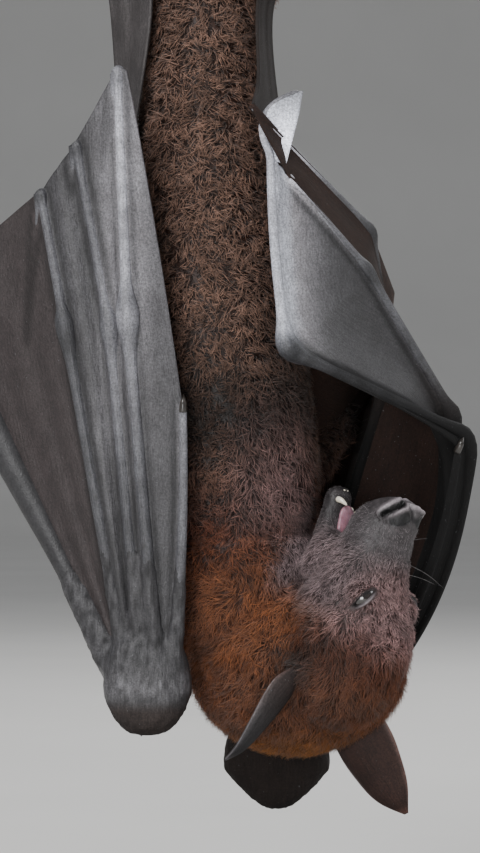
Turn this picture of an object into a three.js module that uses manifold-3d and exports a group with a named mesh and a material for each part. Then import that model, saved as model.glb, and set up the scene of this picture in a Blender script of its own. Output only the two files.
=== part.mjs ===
// A life-size fruit bat (large flying fox), hanging head-down by both feet from a short cut branch.
// Its left wing is folded in front of the flank. Its right wing is half open round the head.
// Two rods on a flat base hold the branch.
//
// Millimetres, +Z up. The origin is the middle of the base's underside. The belly faces -Y, so the
// animal's left side is at -X.
import * as THREE from "three";
import { mergeVertices } from "three/addons/utils/BufferGeometryUtils.js";
import Module from "manifold-3d";

const wasm = await Module();
wasm.setup();

// ---------------------------------------------------------------- driving dimensions
const GAP = 0.5; // between neighbouring solids
const MEMBRANE = 1.0; // thickness of the wing skin
const BASE = { width: 350, depth: 230, height: 15, corner: 18 };
const ROD = { radius: 5, x: 160, sunk: 6 };
const PERCH = { z: 572, radius: 12, length: 344, bow: 3 };
const BODY_X = -14; // the trunk hangs a little to the animal's left of the middle
const EAR = { width: 20, thickness: 1.6, cup: 1.15 };
const FINGER = { root: 2.6, knuckle: 4.4, bone: 2.4, joint: 3.4, tip: 1.1, claw: 1.6 };
const EYE = { radius: 6.2, forward: 23.5, side: 14.2, up: 9.5 };
const SIMPLIFY = 0.2; // how far a cut edge may move to save facets

// ---------------------------------------------------------------- colours
const finish = (color, roughness) =>
  new THREE.MeshStandardMaterial({ color, roughness, metalness: 0 });
const FINISH = {
  body_fur: finish(0x4a2a1c, 0.95),
  mantle_fur: finish(0x8a4a1e, 0.95),
  face_fur: finish(0x3a2f2f, 0.9),
  membrane: finish(0x35353a, 0.6),
  eye: finish(0x120a06, 0.1),
  tongue: finish(0x8c5a68, 0.45),
  bark: finish(0x6b5540, 0.9),
  stand_base: finish(0x2b2b2d, 0.5),
  stand_rod: finish(0x8f9194, 0.35),
};

// ---------------------------------------------------------------- points and profiles
const at = (x, y, z) => new THREE.Vector3(x, y, z);
const mix = (a, b, t) => a.clone().lerp(b, t);

// A smooth value along 0..1 through evenly spaced numbers.
function profile(...values) {
  const curve = new THREE.CatmullRomCurve3(
    values.map((v, i) => at(i / (values.length - 1), v, 0)),
    false,
    "catmullrom",
    0.5,
  );
  return (t) => curve.getPoint(THREE.MathUtils.clamp(t, 0, 1)).y;
}

const through = (points) => new THREE.CatmullRomCurve3(points, false, "centripetal");

// ---------------------------------------------------------------- making solids
function solid(geometry) {
  const bare = new THREE.BufferGeometry();
  bare.setAttribute("position", geometry.getAttribute("position"));
  bare.setIndex(geometry.index);
  const merged = mergeVertices(bare, 1e-3);
  return new wasm.Manifold(
    new wasm.Mesh({
      numProp: 3,
      vertProperties: merged.attributes.position.array,
      triVerts: new Uint32Array(merged.index.array),
    }),
  );
}

// A closed round body: a sphere whose latitude runs along it and whose longitude runs round it.
// place(t, angle) gives the surface point; t is 0 and 1 at the two poles.
function blob(around, along, place) {
  const geometry = new THREE.SphereGeometry(1, around, along);
  const position = geometry.getAttribute("position");
  for (let i = 0; i < position.count; i++) {
    const v = at().fromBufferAttribute(position, i);
    const t = Math.acos(THREE.MathUtils.clamp(v.y, -1, 1)) / Math.PI;
    position.setXYZ(i, ...place(t, Math.atan2(v.z, -v.x)).toArray());
  }
  const made = solid(geometry);
  if (made.volume() >= 0) return made;
  geometry.index.array.reverse();
  return solid(geometry);
}

// A body of elliptical sections along a curve. side(t) and front(t) are the half widths across
// `sideways` and square to it. The last share `round` of each end closes in a half ellipse.
function limb(curve, side, front, sideways, options = {}) {
  const { around = 10, along = 8, round = 0.16, grow = 0 } = options;
  return blob(around, along, (t, angle) => {
    const s = 0.5 - 0.5 * Math.cos(Math.PI * t);
    const centre = curve.getPoint(s);
    const tangent = curve.getTangent(s);
    const front_axis = tangent.clone().cross(sideways).normalize();
    const side_axis = front_axis.clone().cross(tangent).normalize();
    const edge = Math.min(s, 1 - s) / round;
    const close = edge >= 1 ? 1 : Math.sqrt(1 - (1 - edge) ** 2);
    const outward = s < 0.5 ? -1 : 1;
    return centre
      .addScaledVector(side_axis, Math.cos(angle) * (side(s) + grow) * close)
      .addScaledVector(front_axis, Math.sin(angle) * (front(s) + grow) * close)
      .addScaledVector(tangent, outward * grow * (1 - close));
  });
}

// A straight bone in its skin, with a rounded end at each joint.
function bone(a, b, radius_a, radius_b, grow = 0, around = 8) {
  const axis = b.clone().sub(a).normalize();
  const across = Math.abs(axis.y) < 0.9 ? at(0, 1, 0) : at(1, 0, 0);
  const u = axis.clone().cross(across).normalize();
  const w = axis.clone().cross(u);
  const rings = 5;
  return blob(around, rings, (t, angle) => {
    const step = Math.round(t * rings);
    const first = step <= rings / 2;
    const radius = (first ? radius_a : radius_b) + grow;
    const turn = ((first ? 2 - step : step - 3) * Math.PI) / 4;
    const centre = first ? a : b;
    return centre
      .clone()
      .addScaledVector(axis, (first ? -1 : 1) * radius * Math.sin(turn))
      .addScaledVector(u, Math.cos(angle) * radius * Math.cos(turn))
      .addScaledVector(w, Math.sin(angle) * radius * Math.cos(turn));
  });
}

function ball(centre, radius, grow = 0, around = 8, along = 6) {
  return blob(around, along, (t, angle) =>
    at(
      Math.cos(angle) * Math.sin(Math.PI * t),
      Math.sin(angle) * Math.sin(Math.PI * t),
      Math.cos(Math.PI * t),
    )
      .multiplyScalar(radius + grow)
      .add(centre),
  );
}

// Splits each quad of a box's back face along its other diagonal, the one that its front face uses,
// so that the two sides of a twisted sheet bend alike and never cross.
function match_diagonals(box) {
  const { start, count } = box.groups[5];
  for (let i = start; i < start + count; i += 6) {
    const [a, b, d, , c] = box.index.array.slice(i, i + 6);
    box.index.array.set([a, b, c, a, c, d], i);
  }
}

// A thin sheet over a patch. patch(u, v) gives its middle surface, with u and v from 0 to 1.
function sheet(patch, cells_u, cells_v, thickness, grow = 0) {
  const geometry = new THREE.BoxGeometry(1, 1, 1, cells_u, cells_v, 1);
  match_diagonals(geometry);
  const position = geometry.getAttribute("position");
  const step = 1e-3;
  const inside = (x) => THREE.MathUtils.clamp(x, 0, 1);
  const slope = (f) => f(step).sub(f(-step));
  for (let i = 0; i < position.count; i++) {
    const u = position.getX(i) + 0.5;
    const v = position.getY(i) + 0.5;
    const over_u = slope((d) => patch(inside(u + d), v));
    const over_v = slope((d) => patch(u, inside(v + d)));
    const normal = over_u.clone().cross(over_v).normalize();
    const point = patch(u, v).addScaledVector(
      normal,
      2 * position.getZ(i) * (thickness / 2 + grow),
    );
    if (grow) {
      point.addScaledVector(over_u.normalize(), Math.sign(u - 0.5) * grow);
      point.addScaledVector(over_v.normalize(), Math.sign(v - 0.5) * grow);
    }
    position.setXYZ(i, ...point.toArray());
  }
  const made = solid(geometry);
  if (made.volume() >= 0) return made;
  geometry.index.array.reverse();
  return solid(geometry);
}

const join = (...solids) => solids.reduce((all, s) => all.add(s));

// ---------------------------------------------------------------- the list of parts
const largest = (made) => made.decompose().sort((a, b) => b.volume() - a.volume())[0];

// make(grow) returns the part, swollen by grow. A part is cut back from those named in `from`.
const makers = new Map();
const kept = [];
function part(name, material, make, from = []) {
  makers.set(name, make);
  let made = make(0);
  for (const other of from) made = made.subtract(makers.get(other)(GAP));
  const simple = largest(made).asOriginal().simplify(SIMPLIFY);
  kept.push({ name, material, made: largest(simple) });
}

// ---------------------------------------------------------------- the stand and the perch
const moved = (geometry, ...move) => solid(geometry.translate(...move));

function rounded_slab({ width, depth, height, corner }) {
  const outline = new THREE.Shape();
  const x = width / 2 - corner;
  const y = depth / 2 - corner;
  const quarter = Math.PI / 2;
  outline.absarc(x, y, corner, 0, quarter);
  outline.absarc(-x, y, corner, quarter, 2 * quarter);
  outline.absarc(-x, -y, corner, 2 * quarter, 3 * quarter);
  outline.absarc(x, -y, corner, 3 * quarter, 4 * quarter);
  return new THREE.ExtrudeGeometry(outline, {
    depth: height,
    bevelEnabled: false,
    curveSegments: 3,
  });
}

const perch_centre = (x) =>
  at(x, 0, PERCH.z + PERCH.bow * (1 - (2 * x / PERCH.length) ** 2));

// The branch has flat sawn ends and swells a little along its length.
function make_perch(grow) {
  const along = 10;
  const swell = profile(13, 11.4, 12, 12, 12, 11.6, 12.6);
  return blob(12, along, (t, angle) => {
    const ring = Math.round(t * along);
    const s = THREE.MathUtils.clamp((ring - 1) / (along - 2), 0, 1);
    const radius = ring === 0 || ring === along ? 0 : swell(s) + grow;
    const centre = perch_centre((s - 0.5) * PERCH.length);
    return centre.add(at(0, Math.cos(angle) * radius, Math.sin(angle) * radius));
  });
}

for (const [side, sign] of [["left", -1], ["right", 1]])
  part(`stand_rod_${side}`, "stand_rod", (grow) => {
    const low = BASE.height - ROD.sunk;
    const x = sign * ROD.x;
    const high = perch_centre(x).z - PERCH.radius + ROD.sunk;
    const length = high - low + 2 * grow;
    const rod = new THREE.CylinderGeometry(ROD.radius + grow, ROD.radius + grow, length, 12);
    return moved(rod.rotateX(Math.PI / 2), x, 0, (high + low) / 2);
  });
const RODS = ["stand_rod_left", "stand_rod_right"];
part("stand_base", "stand_base", () => solid(rounded_slab(BASE)), RODS);
part("perch", "bark", make_perch, RODS);

// ---------------------------------------------------------------- the legs and feet
const LEGS = {
  left: { hip: at(-26, 8, 406), knee: at(-50, 30, 470), ankle: at(-39, 19, 545) },
  right: { hip: at(-2, 8, 406), knee: at(22, 30, 470), ankle: at(11, 19, 545) },
};
const TOE = { count: 5, radius: 2.3, spread: 4.9, start: -25, end: 195 };

// One toe and its claw, over the branch from behind; the claw's point comes down in front.
function toe(x, grow) {
  const centre = perch_centre(x);
  const orbit = PERCH.radius + TOE.radius + GAP + 0.5;
  const arc = through(
    Array.from({ length: 7 }, (_, i) => {
      const a = THREE.MathUtils.degToRad(THREE.MathUtils.lerp(TOE.start, TOE.end, i / 6));
      return at(0, Math.cos(a) * orbit, Math.sin(a) * orbit).add(centre);
    }),
  );
  const width = profile(TOE.radius, TOE.radius, 2, 2, 1.2, 0.4);
  return limb(arc, width, width, at(1, 0, 0), { around: 5, along: 6, round: 0.06, grow });
}

function make_foot({ ankle }, grow) {
  const line = through([
    ankle,
    ankle.clone().add(at(0, 0.5, 10)),
    ankle.clone().add(at(0, -2.5, 21)),
    ankle.clone().add(at(0, -3.2, 28)),
  ]);
  const foot = limb(line, profile(6, 9, 12.2, 12), profile(5, 4.2, 3.2, 2.6), at(1, 0, 0), {
    around: 8,
    along: 5,
    grow,
  });
  const toes = Array.from({ length: TOE.count }, (_, i) =>
    toe(ankle.x + (i - (TOE.count - 1) / 2) * TOE.spread, grow),
  );
  return join(foot, ...toes);
}

for (const [side, { hip, knee, ankle }] of Object.entries(LEGS)) {
  const foot = `foot_${side}`;
  const shank = `shank_${side}`;
  const leg = (a, b, width) => (grow) => {
    const beyond = b.clone().sub(a).setLength(7);
    const line = new THREE.LineCurve3(a.clone().sub(beyond), b.clone().add(beyond));
    return limb(line, width, width, at(1, 0, 0), { around: 8, along: 6, grow });
  };
  part(foot, "membrane", (grow) => make_foot({ ankle }, grow), ["perch"]);
  part(shank, "body_fur", leg(knee, ankle, profile(11, 8.5, 6)), [foot]);
  const others = makers.has("thigh_left") ? [shank, "thigh_left"] : [shank];
  part(`thigh_${side}`, "body_fur", leg(hip, knee, profile(18.5, 16, 11)), others);
}

// ---------------------------------------------------------------- the head
// Its own frame: F towards the nose, L towards the animal's left, U towards the crown.
const SKULL = at(39.5, -25, 143.5);
const F = at(0.4, -0.14, 0.905).normalize();
const leftward = at(-0.62, -0.76, 0.19);
const L = leftward.clone().addScaledVector(F, -F.dot(leftward)).normalize();
const U = F.clone().cross(L);
const in_head = (f, l, u) =>
  SKULL.clone().addScaledVector(F, f).addScaledVector(L, l).addScaledVector(U, u);

const HEAD = { back: -34, front: 64 };
const head_top = profile(8, 24, 29.5, 28.5, 24, 16.3, 12.3, 9.5, 6);
const head_bottom = profile(-8, -24, -27, -25.5, -23, -20.5, -19.3, -18.7, -9);
const head_width = profile(10, 23, 27, 26.5, 24, 19, 15, 12, 6.5);

function make_head(grow) {
  return blob(14, 11, (t, angle) => {
    const s = 0.5 - 0.5 * Math.cos(Math.PI * t);
    const edge = Math.min(s / 0.12, (1 - s) / 0.07);
    const close = edge >= 1 ? 1 : Math.sqrt(1 - (1 - edge) ** 2);
    const middle = (head_top(s) + head_bottom(s)) / 2;
    const half = (head_top(s) - head_bottom(s)) / 2 + grow;
    return in_head(
      THREE.MathUtils.lerp(HEAD.back - grow, HEAD.front + grow, s),
      Math.cos(angle) * (head_width(s) + grow) * close,
      middle + Math.sin(angle) * half * close,
    );
  });
}

function make_jaw(grow) {
  const line = through([
    in_head(6, 0, -15),
    in_head(26, 0, -22),
    in_head(42, 0, -28.5),
    in_head(55.5, 0, -32.5),
  ]);
  const wide = profile(13, 11.5, 9, 7.2, 6);
  const deep = profile(7.5, 7, 6, 5.2, 4.5);
  const chin = limb(line, wide, deep, L, { around: 10, along: 7, round: 0.1, grow });
  const teeth = [1, -1].map((side) =>
    bone(in_head(50.7, side * 4.4, -28.5), in_head(50.6, side * 4.2, -21.8), 1.5, 0.6, grow, 5),
  );
  return join(chin, ...teeth);
}

function make_tongue(grow) {
  const line = through([in_head(27, 0, -16.5), in_head(38, 0, -19.8), in_head(48.5, 0, -24)]);
  return limb(line, profile(7, 6.4, 4.5), profile(1.9, 1.7, 1.2), L, {
    around: 8,
    along: 6,
    grow,
  });
}

// A pointed, cupped ear. `open` is the way its hollow faces.
const EARS = {
  left: { root: in_head(-15, 25, 4), tip: at(-5.5, -46, 102), open: at(-0.75, -0.35, 0.6) },
  right: { root: in_head(-24, -15, -2), tip: at(66.5, -3, 76), open: at(0.45, 0.85, 0.1) },
};

function make_ear({ root, tip, open }, grow) {
  const axis = tip.clone().sub(root);
  const face = open.clone().addScaledVector(axis, -open.dot(axis) / axis.lengthSq()).normalize();
  const across = axis.clone().cross(face).normalize();
  const width = profile(0.8, 1, 1, 0.86, 0.62, 0.1);
  const curl = profile(1.35, 1.2, 1, 0.8, 0.6, 0.4);
  return sheet(
    (u, v) => {
      const cup = EAR.cup * curl(u);
      const turn = (2 * v - 1) * cup;
      const radius = (EAR.width * width(u)) / (2 * Math.sin(Math.min(cup, 1.5)));
      return root
        .clone()
        .addScaledVector(axis, u)
        .addScaledVector(across, Math.sin(turn) * radius)
        .addScaledVector(face, (0.65 - Math.cos(turn)) * radius);
    },
    7,
    4,
    EAR.thickness,
    grow,
  );
}

part("lower_jaw", "face_fur", make_jaw);
part("tongue", "tongue", make_tongue, ["lower_jaw"]);
for (const [side, sign] of [["left", 1], ["right", -1]]) {
  const centre = in_head(EYE.forward, sign * EYE.side, EYE.up);
  part(`eye_${side}`, "eye", (grow) => ball(centre, EYE.radius, grow, 8, 6));
}
part("head", "face_fur", make_head, ["lower_jaw", "tongue", "eye_left", "eye_right"]);

// ---------------------------------------------------------------- the neck and trunk
// The mantle is the thick ruff of fur round the nape.
const MANTLE = { centre: at(23, -6, 137), radii: at(46, 38, 39.5) };

function make_neck(grow) {
  const line = through([at(-4, 2, 200), at(-2, 0, 165), at(6, -4, 140)]);
  const collar = limb(line, profile(38, 40, 34), profile(38, 38, 32), at(1, 0, 0), {
    around: 12,
    along: 5,
    round: 0.3,
    grow,
  });
  const mantle = blob(14, 8, (t, angle) =>
    at(
      Math.cos(angle) * Math.sin(Math.PI * t) * (MANTLE.radii.x + grow),
      Math.sin(angle) * Math.sin(Math.PI * t) * (MANTLE.radii.y + grow),
      Math.cos(Math.PI * t) * (MANTLE.radii.z + grow),
    ).add(MANTLE.centre),
  );
  return join(collar, mantle);
}

function make_trunk(grow) {
  const line = through([
    at(-4, 3, 168),
    at(-6, 2, 210),
    at(-10, 2, 260),
    at(-13, 3, 315),
    at(BODY_X, 6, 370),
    at(BODY_X, 9, 428),
  ]);
  const wide = profile(36, 39.5, 37.5, 32.5, 27, 23);
  const deep = profile(36, 40, 40, 36, 30, 24);
  return limb(line, wide, deep, at(1, 0, 0), { around: 14, along: 10, round: 0.12, grow });
}

part("neck", "mantle_fur", make_neck, ["head", "lower_jaw"]);
for (const side of ["left", "right"])
  part(`ear_${side}`, "membrane", (grow) => make_ear(EARS[side], grow), ["head", "neck"]);
part("trunk", "body_fur", make_trunk, ["neck", "head", "thigh_left", "thigh_right"]);

// ---------------------------------------------------------------- the wings
// A finger runs from the wrist to its knuckle and on along its finger bones; `bow` bends its bone
// in the palm. `root` and `rear` are the skin's edges from the ankle to the elbow: along the flank
// and upper arm, and free; `turn` is their point where the leg's skin becomes the flank's. `sags`
// are how far the skin hollows in each length of the fingers, and `leaf` gives the two edges of
// the wing's open tip.
const NONE = at(0, 0, 0);
const WINGS = {
  left: {
    shoulder: at(-26, 14, 206),
    elbow: at(-128, 22, 286),
    wrist: at(-45, -38, 130),
    palm: { middle: at(-36.5, -40, 127), half: at(17, 12, 17.5) },
    thumb: [at(-38, -30, 119), at(-42, -4, 117), at(-42, 16, 112), at(-40, 22, 104)],
    fingers: {
      2: { joints: [at(-26, -45, 136), at(-22, -50, 237)], bows: [at(1.5, 0, 0)] },
      3: {
        joints: [at(-32, -46, 136), at(-43.5, -50, 273), at(-47.5, -42, 370), at(-58, -27, 240)],
        bows: [],
      },
      4: {
        joints: [at(-38, -44, 136), at(-50.5, -45, 270), at(-64, -37, 341), at(-69, -24, 264)],
        bows: [],
      },
      5: {
        joints: [at(-44, -41, 136), at(-68, -40, 270), at(-78, -32, 322), at(-81, -18, 264)],
        bows: [],
      },
    },
    front: [at(-26, -45, 136), at(-22, -50, 237), at(-44, -44, 368)],
    front_bow: [at(1.5, 0, 0), at(1, -2, 0)],
    sags: [NONE, NONE, NONE],
    turn: 5,
    rear: [
      at(-46, 12, 538),
      at(-56, 2, 470),
      at(-46, -6, 438),
      at(-39, -13, 418),
      at(-35, -17, 400),
      at(-42, -15, 345),
      at(-66, -12, 312),
      at(-90, 4, 300),
      at(-128, 22, 290),
    ],
    root: [
      at(-50, 20, 538),
      at(-64, 26, 470),
      at(-58, 15, 438),
      at(-55, 6, 418),
      at(-52, 4, 400),
      at(-48, 10, 345),
      at(-46, 14, 250),
      at(-60, 17, 226),
      at(-128, 22, 286),
    ],
  },
  right: {
    shoulder: at(12, 12, 204),
    elbow: at(64, 86, 262),
    wrist: at(16, 42, 96),
    palm: { middle: at(15, 38, 90), half: at(20, 12, 17.5) },
    thumb: [at(14, 46, 88), at(12, 66, 86), at(9, 82, 90), at(8, 87, 97)],
    fingers: {
      2: { joints: [at(31, 30, 99), at(87, -5, 221)], bows: [at(10, 0, -6)] },
      3: {
        joints: [
          at(29, 35, 99),
          at(92, 2, 226),
          at(18, -52, 260),
          at(12, -37, 336),
          at(23.5, -33, 361),
        ],
        bows: [at(15, 0, -9), NONE, at(-1.5, 0, 0), at(-8, 0, 3)],
      },
      4: {
        joints: [at(22, 40, 99), at(86, 10, 234), at(50, -20, 292), at(19, -38, 327)],
        bows: [at(14, 3, -8)],
      },
      5: {
        joints: [at(15, 43, 100), at(62, 32, 255), at(52, -5, 308), at(4, -46, 354)],
        bows: [],
      },
    },
    front: [at(31, 30, 99), at(87, -5, 221), at(86, -6, 226)],
    front_bow: [at(10, 0, -6), NONE],
    sags: [at(3, 2, -2), at(0, 5, 1), NONE],
    turn: 6,
    rear: [
      at(18, 12, 538),
      at(28, 2, 470),
      at(18, -6, 438),
      at(11, -13, 418),
      at(7, -17, 398),
      at(7, -30, 366),
      at(5, -45, 355),
      at(52, -5, 308),
      at(64, 60, 286),
      at(63, 80, 270),
    ],
    root: [
      at(21, 20, 538),
      at(36, 26, 470),
      at(29, 14, 438),
      at(22, 5, 418),
      at(13, 3, 398),
      at(17, 10, 345),
      at(21, 14, 320),
      at(26, 14, 260),
      at(28, 20, 214),
      at(60, 76, 255),
    ],
    leaf: [
      [at(14.4, -37, 334), at(11.4, -36.3, 345), at(14, -35.2, 352.8), at(22.4, -33, 358.2)],
      [at(19, -38, 332), at(20.5, -36.3, 342), at(22.8, -34.5, 351), at(24.5, -32.6, 357.5)],
    ],
  },
};

// A point along a line of joints, u from 0 to 1 with every joint evenly spaced in u. Each length
// between joints may be bent by its bow.
function chain(joints, bows = []) {
  return (u) => {
    const place = u * (joints.length - 1);
    const k = THREE.MathUtils.clamp(Math.floor(place), 0, joints.length - 2);
    const t = place - k;
    const point = mix(joints[k], joints[k + 1], t);
    return point.addScaledVector(bows[k] ?? NONE, 4 * t * (1 - t));
  };
}

function make_finger({ joints, bows }, grow) {
  const { root, knuckle, bone: shaft, joint, tip, claw } = FINGER;
  const solids = [];
  for (let k = 0; k < joints.length - 1; k++) {
    const length = chain(joints.slice(k, k + 2), [bows[k]]);
    const line = through([0, 0.25, 0.5, 0.75, 1].map(length));
    const last = joints.length > 2 && k === joints.length - 2;
    const width = profile(k ? shaft : root, shaft, last ? 2 : shaft, last ? tip : shaft);
    solids.push(limb(line, width, width, at(0, 1, 0), { around: 5, along: 5, round: 0.05, grow }));
    if (k === 1 || k === 2) solids.push(ball(joints[k], k === 1 ? knuckle : joint, grow, 6, 4));
  }
  if (joints.length === 2) {
    const onward = joints[1].clone().sub(joints[0]).setLength(6).add(joints[1]);
    solids.push(bone(joints[1], onward, claw, 0.7, grow, 5));
  }
  return join(...solids);
}

function make_palm({ middle, half }, grow) {
  const square = (v) => Math.sign(v) * Math.abs(v) ** 0.75;
  return blob(10, 6, (t, angle) => {
    const ring = square(Math.sin(Math.PI * t));
    return at(
      square(Math.cos(angle)) * ring * (half.x + grow),
      square(Math.sin(angle)) * ring * (half.y + grow),
      square(Math.cos(Math.PI * t)) * (half.z + grow),
    ).add(middle);
  });
}

// Skin stretched between two lines, stopping short of each by its inset, and hollowed by `sags`,
// one vector for each length along them.
function web(line_a, line_b, insets = [0, 0], sags = [NONE]) {
  return (u, v) => {
    const place = u * sags.length;
    const k = Math.min(Math.floor(place), sags.length - 1);
    const t = place - k;
    const a = line_a(u);
    const b = line_b(u);
    const [from, short] = insets.map((inset) => Math.min(inset / (a.distanceTo(b) + 1e-6), 0.45));
    const point = mix(a, b, THREE.MathUtils.lerp(from, 1 - short, v));
    return point.addScaledVector(sags[k], 16 * t * (1 - t) * v * (1 - v));
  };
}

const LEG_PARTS = ["left", "right"].flatMap((side) =>
  ["thigh", "shank", "foot"].map((name) => `${name}_${side}`),
);
for (const [side, wing] of Object.entries(WINGS)) {
  const named = (name) => `${name}_${side}`;
  const body = ["trunk", "neck", "head", "lower_jaw", "ear_left", "ear_right"];
  const cut = [...body, ...LEG_PARTS];
  const add = (name, material, make) => {
    part(named(name), material, make, cut);
    cut.push(named(name));
  };
  const arm = (a, b, width) => (grow) =>
    limb(new THREE.LineCurve3(a, b), width, width, at(0, 1, 0), { around: 8, along: 7, grow });
  const thumb = profile(4.2, 2.8, 2.4, 0.7);
  add("wrist", "membrane", (grow) => make_palm(wing.palm, grow));
  add("thumb", "membrane", (grow) =>
    limb(through(wing.thumb), thumb, thumb, at(1, 0, 0), { around: 7, along: 7, grow }),
  );
  add("forearm", "membrane", arm(wing.wrist, wing.elbow, profile(5.5, 5, 7, 9, 7)));
  add("upper_arm", "body_fur", arm(wing.shoulder, wing.elbow, profile(15, 13, 10, 8, 6)));
  for (const n of [2, 3, 4, 5])
    add(`finger_${n}`, "membrane", (grow) => make_finger(wing.fingers[n], grow));
  const finger = (n, last) => {
    const { joints, bows } = wing.fingers[n];
    return chain(joints.slice(0, last ?? 4), bows);
  };
  const forearm = chain([wing.wrist, mix(wing.wrist, wing.elbow, 0.7), wing.elbow]);
  const upper_arm = chain([wing.shoulder, wing.elbow]);
  const front = chain(wing.front, wing.front_bow);
  const bones = [3.2, 3.2];
  const leg = (line) => chain(line.slice(0, wing.turn + 1));
  const flank = (line) => chain(line.slice(wing.turn));
  const skins = {
    front_web: [web(front, finger(3, 3), bones), 8, 1],
    web_3_4: [web(finger(3), finger(4), bones, wing.sags), 9, 2],
    web_4_5: [web(finger(4), finger(5), bones), 9, 1],
    arm_web: [web(finger(5, 3), forearm, [3.2, 9.6]), 4, 2],
    shoulder_web: [web(chain([wing.wrist, wing.elbow]), upper_arm, [9.6, 15.5]), 4, 1],
    leg_web: [web(leg(wing.rear), leg(wing.root)), wing.turn, 2],
    flank_web: [web(flank(wing.rear), flank(wing.root)), wing.rear.length - 1 - wing.turn, 2],
  };
  if (wing.leaf) {
    const [inner, outer] = wing.leaf.map((points) => through(points));
    skins.tip_web = [web((u) => inner.getPoint(u), (u) => outer.getPoint(u)), 4, 2];
  }
  for (const [name, [patch, cells_u, cells_v]] of Object.entries(skins))
    add(name, "membrane", (grow) => sheet(patch, cells_u, cells_v, MEMBRANE, grow));
}

// ---------------------------------------------------------------- the object
const bat = new THREE.Group();
for (const { name, material, made } of kept) {
  const { vertProperties, triVerts } = made.getMesh();
  const geometry = new THREE.BufferGeometry();
  geometry.setAttribute("position", new THREE.BufferAttribute(vertProperties, 3));
  geometry.setIndex(new THREE.BufferAttribute(triVerts, 1));
  const mesh = new THREE.Mesh(geometry, FINISH[material]);
  mesh.name = name;
  bat.add(mesh);
}

export default bat;
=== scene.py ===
"""The look of the hanging fruit bat: skin, coat, wings, perch and stand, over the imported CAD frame.

Lengths are in millimetres until a mesh is made. +Z is up and the belly faces -Y, so the animal's
left side is at -X.
"""
import math

import bmesh
import bpy
import numpy as np
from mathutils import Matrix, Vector, kdtree, noise


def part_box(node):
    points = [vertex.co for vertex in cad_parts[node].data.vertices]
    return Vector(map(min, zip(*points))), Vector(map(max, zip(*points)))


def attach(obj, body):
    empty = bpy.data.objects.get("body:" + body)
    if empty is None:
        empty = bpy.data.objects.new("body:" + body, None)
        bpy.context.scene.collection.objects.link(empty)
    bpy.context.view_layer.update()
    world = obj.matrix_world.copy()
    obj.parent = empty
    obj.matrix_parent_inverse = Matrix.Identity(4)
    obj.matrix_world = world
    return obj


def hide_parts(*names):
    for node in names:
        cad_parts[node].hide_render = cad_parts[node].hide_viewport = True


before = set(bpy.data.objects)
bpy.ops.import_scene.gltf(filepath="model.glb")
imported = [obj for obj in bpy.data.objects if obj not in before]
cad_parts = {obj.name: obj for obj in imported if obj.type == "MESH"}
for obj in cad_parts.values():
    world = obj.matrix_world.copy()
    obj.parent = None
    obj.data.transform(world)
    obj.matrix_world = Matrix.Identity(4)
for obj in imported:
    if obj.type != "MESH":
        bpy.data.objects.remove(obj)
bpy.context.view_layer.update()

MM = 0.001
RANDOM = np.random.default_rng(7)

# ---------------------------------------------------------------- driving dimensions
CAMERA = {"at": (0, -1400, 230), "seen": 341.2}  # seen: the photo's height at the belly
MEMBRANE = 0.8          # thickness of the wing skin
VOXEL = 1.35            # cell of the remesh that joins the flesh into one skin
PALM_VOXEL = 1.25       # and of the one that joins each wrist
SKULL = np.array([39.5, -25, 143.5])
MANTLE = {"centre": np.array([23, -6, 137]), "radii": np.array([46, 38, 39.5])}
EYE = {"radius": 5.7, "lid": 1.2, "forward": 24, "side": 12.0, "up": 9.4}
COAT = {"body": 4.6, "mantle": 4.6, "leg": 3.6, "face": 1.0}
LOCK = 3.2              # distance between the locks that the body's hair gathers into
TUFTS = {"body": 1.24, "more_on_mantle": 0.8, "face": 3.9}  # how many to the square millimetre
TUFT = {"length": 7.6, "width": 0.47, "lift": 44}           # lift is in degrees from the skin
FACE_TUFT = {"length": 4.4, "width": 0.27, "lift": 26}
BEVEL = {"corner": 0.018, "edge": 0.002}                    # of the stand's board, in metres


# ---------------------------------------------------------------- points and lines
def at(*place):
    return np.array(place, float)


def unit(v):
    return v / np.maximum(np.linalg.norm(v, axis=-1, keepdims=True), 1e-9)


def smooth(x, low, high):
    """0 below low, 1 above high, and an S between them."""
    t = np.clip((x - low) / (high - low), 0, 1)
    return t * t * (3 - 2 * t)


def hump(x, width):
    return np.exp(-((x / width) ** 2))


def through(points):
    """A smooth line through points (centripetal Catmull-Rom), called with values from 0 to 1."""
    held = np.asarray(points, float)
    held = np.vstack([2 * held[0] - held[1], held, 2 * held[-1] - held[-2]])

    def place(t):
        t = np.clip(np.atleast_1d(t), 0, 1) * (len(held) - 3)
        k = np.minimum(t.astype(int), len(held) - 4)
        t = (t - k)[:, None]
        a, b, c, d = (held[k + i] for i in range(4))
        ab, bc, cd = (np.linalg.norm(q - p, axis=1, keepdims=True) ** 0.5 + 1e-6
                      for p, q in ((a, b), (b, c), (c, d)))
        start = ((b - a) / ab - (c - a) / (ab + bc) + (c - b) / bc) * bc
        end = ((c - b) / bc - (d - b) / (bc + cd) + (d - c) / cd) * bc
        return ((2 * t**3 - 3 * t**2 + 1) * b + (t**3 - 2 * t**2 + t) * start
                + (3 * t**2 - 2 * t**3) * c + (t**3 - t**2) * end)

    return place


def profile(*values):
    """A smooth value along 0..1 through evenly spaced numbers."""
    held = np.array([2 * values[0] - values[1], *values, 2 * values[-1] - values[-2]], float)

    def value(t):
        t = np.clip(np.asarray(t, float), 0, 1) * (len(held) - 3)
        k = np.minimum(t.astype(int), len(held) - 4)
        t = t - k
        a, b, c, d = (held[k + i] for i in range(4))
        return 0.5 * (2 * b + (c - a) * t + (2 * a - 5 * b + 4 * c - d) * t**2
                      + (3 * b - a - 3 * c + d) * t**3)

    return value


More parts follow.
